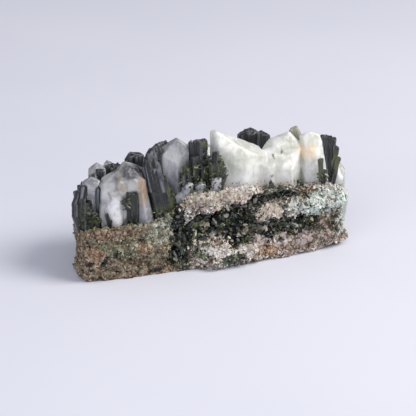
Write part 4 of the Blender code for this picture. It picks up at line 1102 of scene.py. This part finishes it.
real = add(scatter_tree, "GeometryNodeRealizeInstances", {0: both.outputs[0]}).outputs[0]
dressed = add(scatter_tree, "GeometryNodeSetMaterial", {0: real, "Material": sizes["Material"]})
scatter_tree.links.new(dressed.outputs[0], result.inputs[0])
print(scatter_tree.name, len(scatter_tree.nodes), "nodes")

# %% Scatter over a mesh
# Grains count as standing out, so the painted shade of the hollows leaves them light.
STANDS_OUT = 0.2  # mm, the height that a loose grain shows to the rock's finish


def scattered(mesh, share, shapes, spacing, smallest, largest, lean, seed, material, keep=False):
    """Shapes scattered over a copy of the mesh, densest where share, one number for each point, is 1.

    Spacing and sizes are in mm. The copied surface itself stays only where keep is true.
    """
    surface = mesh.copy()
    set_attribute(surface, "share", share)
    made = run_tree(surface, scatter_tree, {
        "Shape A": shapes[0], "Shape B": shapes[1], "Spacing": spacing * MM, "Smallest": smallest * MM,
        "Largest": largest * MM, "Lean": lean, "Seed": seed, "Keep surface": keep, "Material": material,
    })
    set_points(made, points_of(made))
    if not keep:
        copied = made.attributes.get("height")
        if copied:
            made.attributes.remove(copied)
        set_attribute(made, "height", np.full(len(made.vertices), STANDS_OUT))
    return made


def facing_front(mesh, steep=1.5, lift=0.4):
    """For each point, 1 where it faces the front and 0 behind. Steep and lift set what is between."""
    return np.clip(-normals_of(mesh)[:, 1] * steep + lift, 0, 1)


# %% [markdown]
# ## Hollows
# The hollows are lined with a crust of dark green-black epidote crystals one to two millimetres long,
# with yellow-green ones and a few clear grains among them. Hundreds of single solids would be slow to
# build and look no better. So the crust is one solid, roughened like the rock, and the stubs grow from
# it, leaning to all sides.

# %% Druse finish
CELL = 1.3  # mm, about as wide as a small crystal


def druse_finish(name, colours, rough):
    """Small glassy crystals. Each takes one colour, from a cell pattern about as wide as a crystal."""
    made, tree, shader = new_material(name)
    _, ragged = place_in_mm(tree, wobble=0.3, size=1.0)
    cells = add(tree, "ShaderNodeTexVoronoi", {"Vector": ragged, "Scale": 1 / CELL})
    pick = add(tree, "ShaderNodeSeparateColor", {0: cells.outputs["Color"]}).outputs
    tint = add(tree, "ShaderNodeValToRGB", {0: pick[0]}, even_stops(colours))
    tint.color_ramp.interpolation = "CONSTANT"
    tree.links.new(tint.outputs[0], shader.inputs["Base Color"])
    shader.inputs["IOR"].default_value = EPIDOTE_IOR
    shine = add(tree, "ShaderNodeMapRange", {"Value": pick[1], "To Min": rough, "To Max": rough + 0.25})
    tree.links.new(shine.outputs[0], shader.inputs["Roughness"])
    return made


# Druse of epidote: black-green and glassy, so that single faces flash while the rest stays dark.
druse_material = druse_finish(
    "druse_epidote",
    ["#1A1D1A", "#262C25", "#101210", "#353D30", "#1E231E", "#4A5238", "#161915", "#2B322A", "#62693F",
     "#1C201C", "#3A4136", "#8D8C7C", "#434A36", "#191C1B", "#A79D8C", "#23272A", "#141715"],
    0.12,
)

# %% Grow the druse
for number, node in enumerate(("druse_gully", "druse_front")):
    crust = roughened(
        node, voxel=0.35, lump=2.0, lump_height=0.8, grain=1.2, grain_height=0.7, pit_depth=0.3,
        material=druse_material,
    )
    grown = scattered(
        crust, facing_front(crust, lift=0.6), (stub, stub), spacing=0.75, smallest=0.55, largest=1.35,
        lean=0.75, seed=5 + number, material=druse_material, keep=True,
    )
    piece(node + "_crystals", grown, [node])

# %% [markdown]
# ## Crystals that spill over
# The crust doesn't end in a line. Single crystals of it sit on the ledges and rims beside the hollows.
# The same stubs are scattered over the rock itself, wider apart, in a few soft spots.

# %% Spill dark crystals over the hollows' rims
SPILLS = [((18.0, -12, 8.6), (8.5, 4, 2.6)), ((3.5, -12, 8.0), (5.0, 3, 2.6)),
          ((14.5, -10, 17.0), (8, 3, 1.6)), ((-13.5, -13, 8.0), (1.6, 3, 6.5)),
          ((-10.6, -12, 15.2), (2.0, 3, 1.2)), ((2.6, -15.6, 2.6), (3.2, 3, 1.0)),
          ((31.0, -12.4, 6.0), (2.0, 3, 1.6)), ((-6.6, -12.4, 8.6), (1.8, 2, 0.8)),
          ((4.0, -12, 16.4), (5, 3, 1.2))]
rock_points = points_of(rock_mesh)
spilled = scattered(
    rock_mesh, around(rock_points, SPILLS) * facing_front(rock_mesh, lift=0.6), (stub, stub),
    spacing=0.95, smallest=0.45, largest=1.2, lean=1.0, seed=12, material=druse_material,
)
piece("spilled_crystals", spilled)

# %% [markdown]
# ## Sprouts on the blades
# Round the feet of the large blades, and up some of their flanks, sit small olive crystals of the same
# mineral. They hide where a blade meets the rock, and give its straight outline a ragged edge. They
# are the same stubs, only smaller, scattered over the finished blades, so they follow every face.

# %% Grow the sprouts
SPROUTS = {
    "epidote_block": [((-9.1, -8.8, 25.6), (1.5, 3, 2.0)), ((-3.0, -9.2, 25.2), (1.4, 3, 3.2)),
                      ((-6.6, -10.5, 22.6), (3.6, 3, 1.6)), ((-6.8, -9.8, 26.0), (0.4, 3, 2.2))],
    "epidote_spray": [((-0.4, -11.2, 25.6), (1.8, 3, 2.4)), ((-2.4, -11, 22.4), (2.6, 3, 2.0))],
    "epidote_crescent": [((-12.8, -10, 21.0), (0.6, 4, 6.0)), ((-15.0, -10, 15.2), (3.2, 4, 0.9))],
    "epidote_in_quartz": [((-26.2, -10.6, 19.6), (1.4, 3, 2.0)), ((-24.2, -11.0, 14.4), (2.2, 3, 0.9))],
    "epidote_left_fan": [((-34.0, -8.4, 15.6), (2.2, 4, 2.2))],
    "epidote_green_tip": [((28.0, -10.8, 19.6), (1.6, 3, 1.6))],
    "quartz_small_left": [((-10.0, -10.6, 22.4), (0.9, 2, 1.6)), ((-8.4, -11.4, 20.0), (0.6, 2, 1.8))],
    "quartz_small_middle": [((-6.6, -11, 22.4), (0.8, 2, 1.4)), ((-4.6, -11.4, 20.8), (0.7, 2, 2.0))],
    "quartz_small_right": [((-2.8, -11.8, 22.8), (0.8, 2, 1.6)), ((-1.0, -12, 20.8), (0.7, 2, 1.4))],
}
# Young epidote: olive green, as thin crystals let some light through, and a little duller.
sprout_material = druse_finish(
    "sprouting_epidote",
    ["#3A402E", "#52583A", "#23281F", "#676C44", "#434A34", "#1E211C", "#5A6040", "#2F3528"],
    0.25,
)
for number, (node, spots) in enumerate(SPROUTS.items()):
    kind, short = node.split("_", 1)
    bundle = bpy.data.objects[("grooved_" if kind == "epidote" else "worn_") + short].data
    grown = scattered(
        bundle, around(points_of(bundle), spots) * facing_front(bundle, steep=1.0), (stub, stub),
        spacing=0.50, smallest=0.30, largest=0.75, lean=1.2, seed=31 + number, material=sprout_material,
    )
    piece("sprouts_" + short, grown)

# %% [markdown]
# ## Clear and pinkish grains
# A few glassy grains of quartz sit among the dark crystals and in the pale rock. They're the small
# bright points that make the hollows sparkle. Larger pinkish ones lie along the foot of the slab at the
# right. A bright speck in the rock's colour would stay flat, so these are real angular grains.

# %% Scatter the clear grains
# Glassy grains: small and pale, each with a sharp highlight on the face that meets the lamp.
grain_quartz = quartz_finish("glassy_grain", "#ADADAA", "#DADAD6", through=0.5, stains_and_painted_light=[], rough=0.05)
CLEAR_GRAINS = [((-2.1, -11.6, 9.4), (1.8, 3, 1.3)), ((-9.6, -12.8, 14.8), (1.6, 3, 1.8)),
                ((16.6, -12.7, 5.4), (2.2, 3, 1.0)), ((-3.0, -11.4, 12.6), (8, 4, 3.0)),
                ((9, -11.6, 11.4), (5, 3, 2.0)), ((-9.0, -12, 17.6), (3, 3, 1.2)),
                ((-1, -12, 21.0), (8, 3, 1.0))]
for number, (holder, spacing) in enumerate((("rock", 2.4), ("druse_front_crystals", 2.1))):
    base = bpy.data.objects[holder].data
    grown = scattered(
        base, around(points_of(base), CLEAR_GRAINS) * facing_front(base), (grain_a, grain_c),
        spacing=spacing, smallest=0.4, largest=1.3, lean=3.0, seed=51 + number, material=grain_quartz,
    )
    piece("clear_grains_%d" % number, grown)

# %% Scatter the pinkish grains
# Iron-stained quartz: warm and half clear, between the white of the rock and the rust round it.
pink_grain = quartz_finish("pinkish_grain", "#E0CFC6", "#F6ECE6", through=0.5, stains_and_painted_light=[], rough=0.15)
PINK_GRAINS = [((9.2, -13.7, 5.0), (2.4, 3, 1.3)), ((16.6, -12.7, 5.0), (2.6, 3, 1.3)),
               ((23.0, -13.0, 4.4), (2.4, 3, 1.2)), ((28.0, -12.5, 4.6), (2.0, 3, 1.0))]
pinkish = scattered(
    rock_mesh, around(rock_points, PINK_GRAINS) * facing_front(rock_mesh), (grain_b, grain_c),
    spacing=1.5, smallest=1.2, largest=2.8, lean=3.0, seed=57, material=pink_grain,
)
piece("pinkish_grains", pinkish)

# %% [markdown]
# ## Grains on the rock
# Moving the surface in and out gives soft bumps, while real grains have corners and shadows under
# them. So grains are scattered over the rock as well, in the rock's own finish. Where crystals stand,
# their feet are grown in with a crust of finer grains, so grains are spread more densely within a
# millimetre or so of them.

# %% Distance to the crystals
FAR = 6 * MM  # beyond this, it makes no difference how far a crystal is

crystals = bmesh.new()
for node in nodes:
    if node.startswith(("quartz_", "epidote_")):
        crystals.from_mesh(nodes[node].data)
crystal_search = bvhtree.BVHTree.FromBMesh(crystals)
crystals.free()
to_crystal = np.array([crystal_search.find_nearest(Vector(p), FAR)[3] or FAR for p in rock_points])
print("points within 1 mm of a crystal:", int((to_crystal < MM).sum()), "of", len(to_crystal))

# %% Scatter the grains
FOOT = 0.3 * MM  # no grain grows this near the table
SOCKET = 0.45 * MM  # nor this near a crystal, inside the hole that it stands in
CRUST = 2.0 * MM  # how far the crust of finer grains reaches from a crystal

above_base = np.clip((rock_points[:, 2] - FOOT) / MM, 0, 1)
in_socket = (to_crystal < SOCKET).astype(float)
everywhere = above_base * (1 - in_socket)
rock_grains = scattered(
    rock_mesh, everywhere, (grain_a, grain_b), spacing=0.95, smallest=0.4, largest=1.3, lean=3.0,
    seed=3, material=rock_material,
)
piece("rock_grains", rock_grains)

feet = above_base * np.clip((CRUST - to_crystal) / MM, 0, 1) * (1 - in_socket)
foot_grains = scattered(
    rock_mesh, feet, (grain_b, grain_c), spacing=0.55, smallest=0.5, largest=1.1, lean=3.0,
    seed=8, material=rock_material,
)
piece("foot_grains", foot_grains)

# %% Grains at the foot of the milky group
MILKY_FOOT = [((6.0, -11, 19.8), (8, 4, 1.2)), ((17.0, -9, 18.6), (7, 4, 1.0)),
              ((26.5, -10, 18.2), (4, 4, 0.9))]
milky_mesh = bpy.data.objects["worn_milky"].data
milky_share = around(points_of(milky_mesh), MILKY_FOOT) * facing_front(milky_mesh, steep=2, lift=0)
milky_grains = scattered(
    milky_mesh, milky_share, (grain_a, grain_c), spacing=0.6, smallest=0.35, largest=1.0, lean=3.0,
    seed=61, material=rock_material,
)
piece("milky_foot_grains", milky_grains)

for shape in (stub, grain_a, grain_b, grain_c):
    bpy.data.objects.remove(shape)
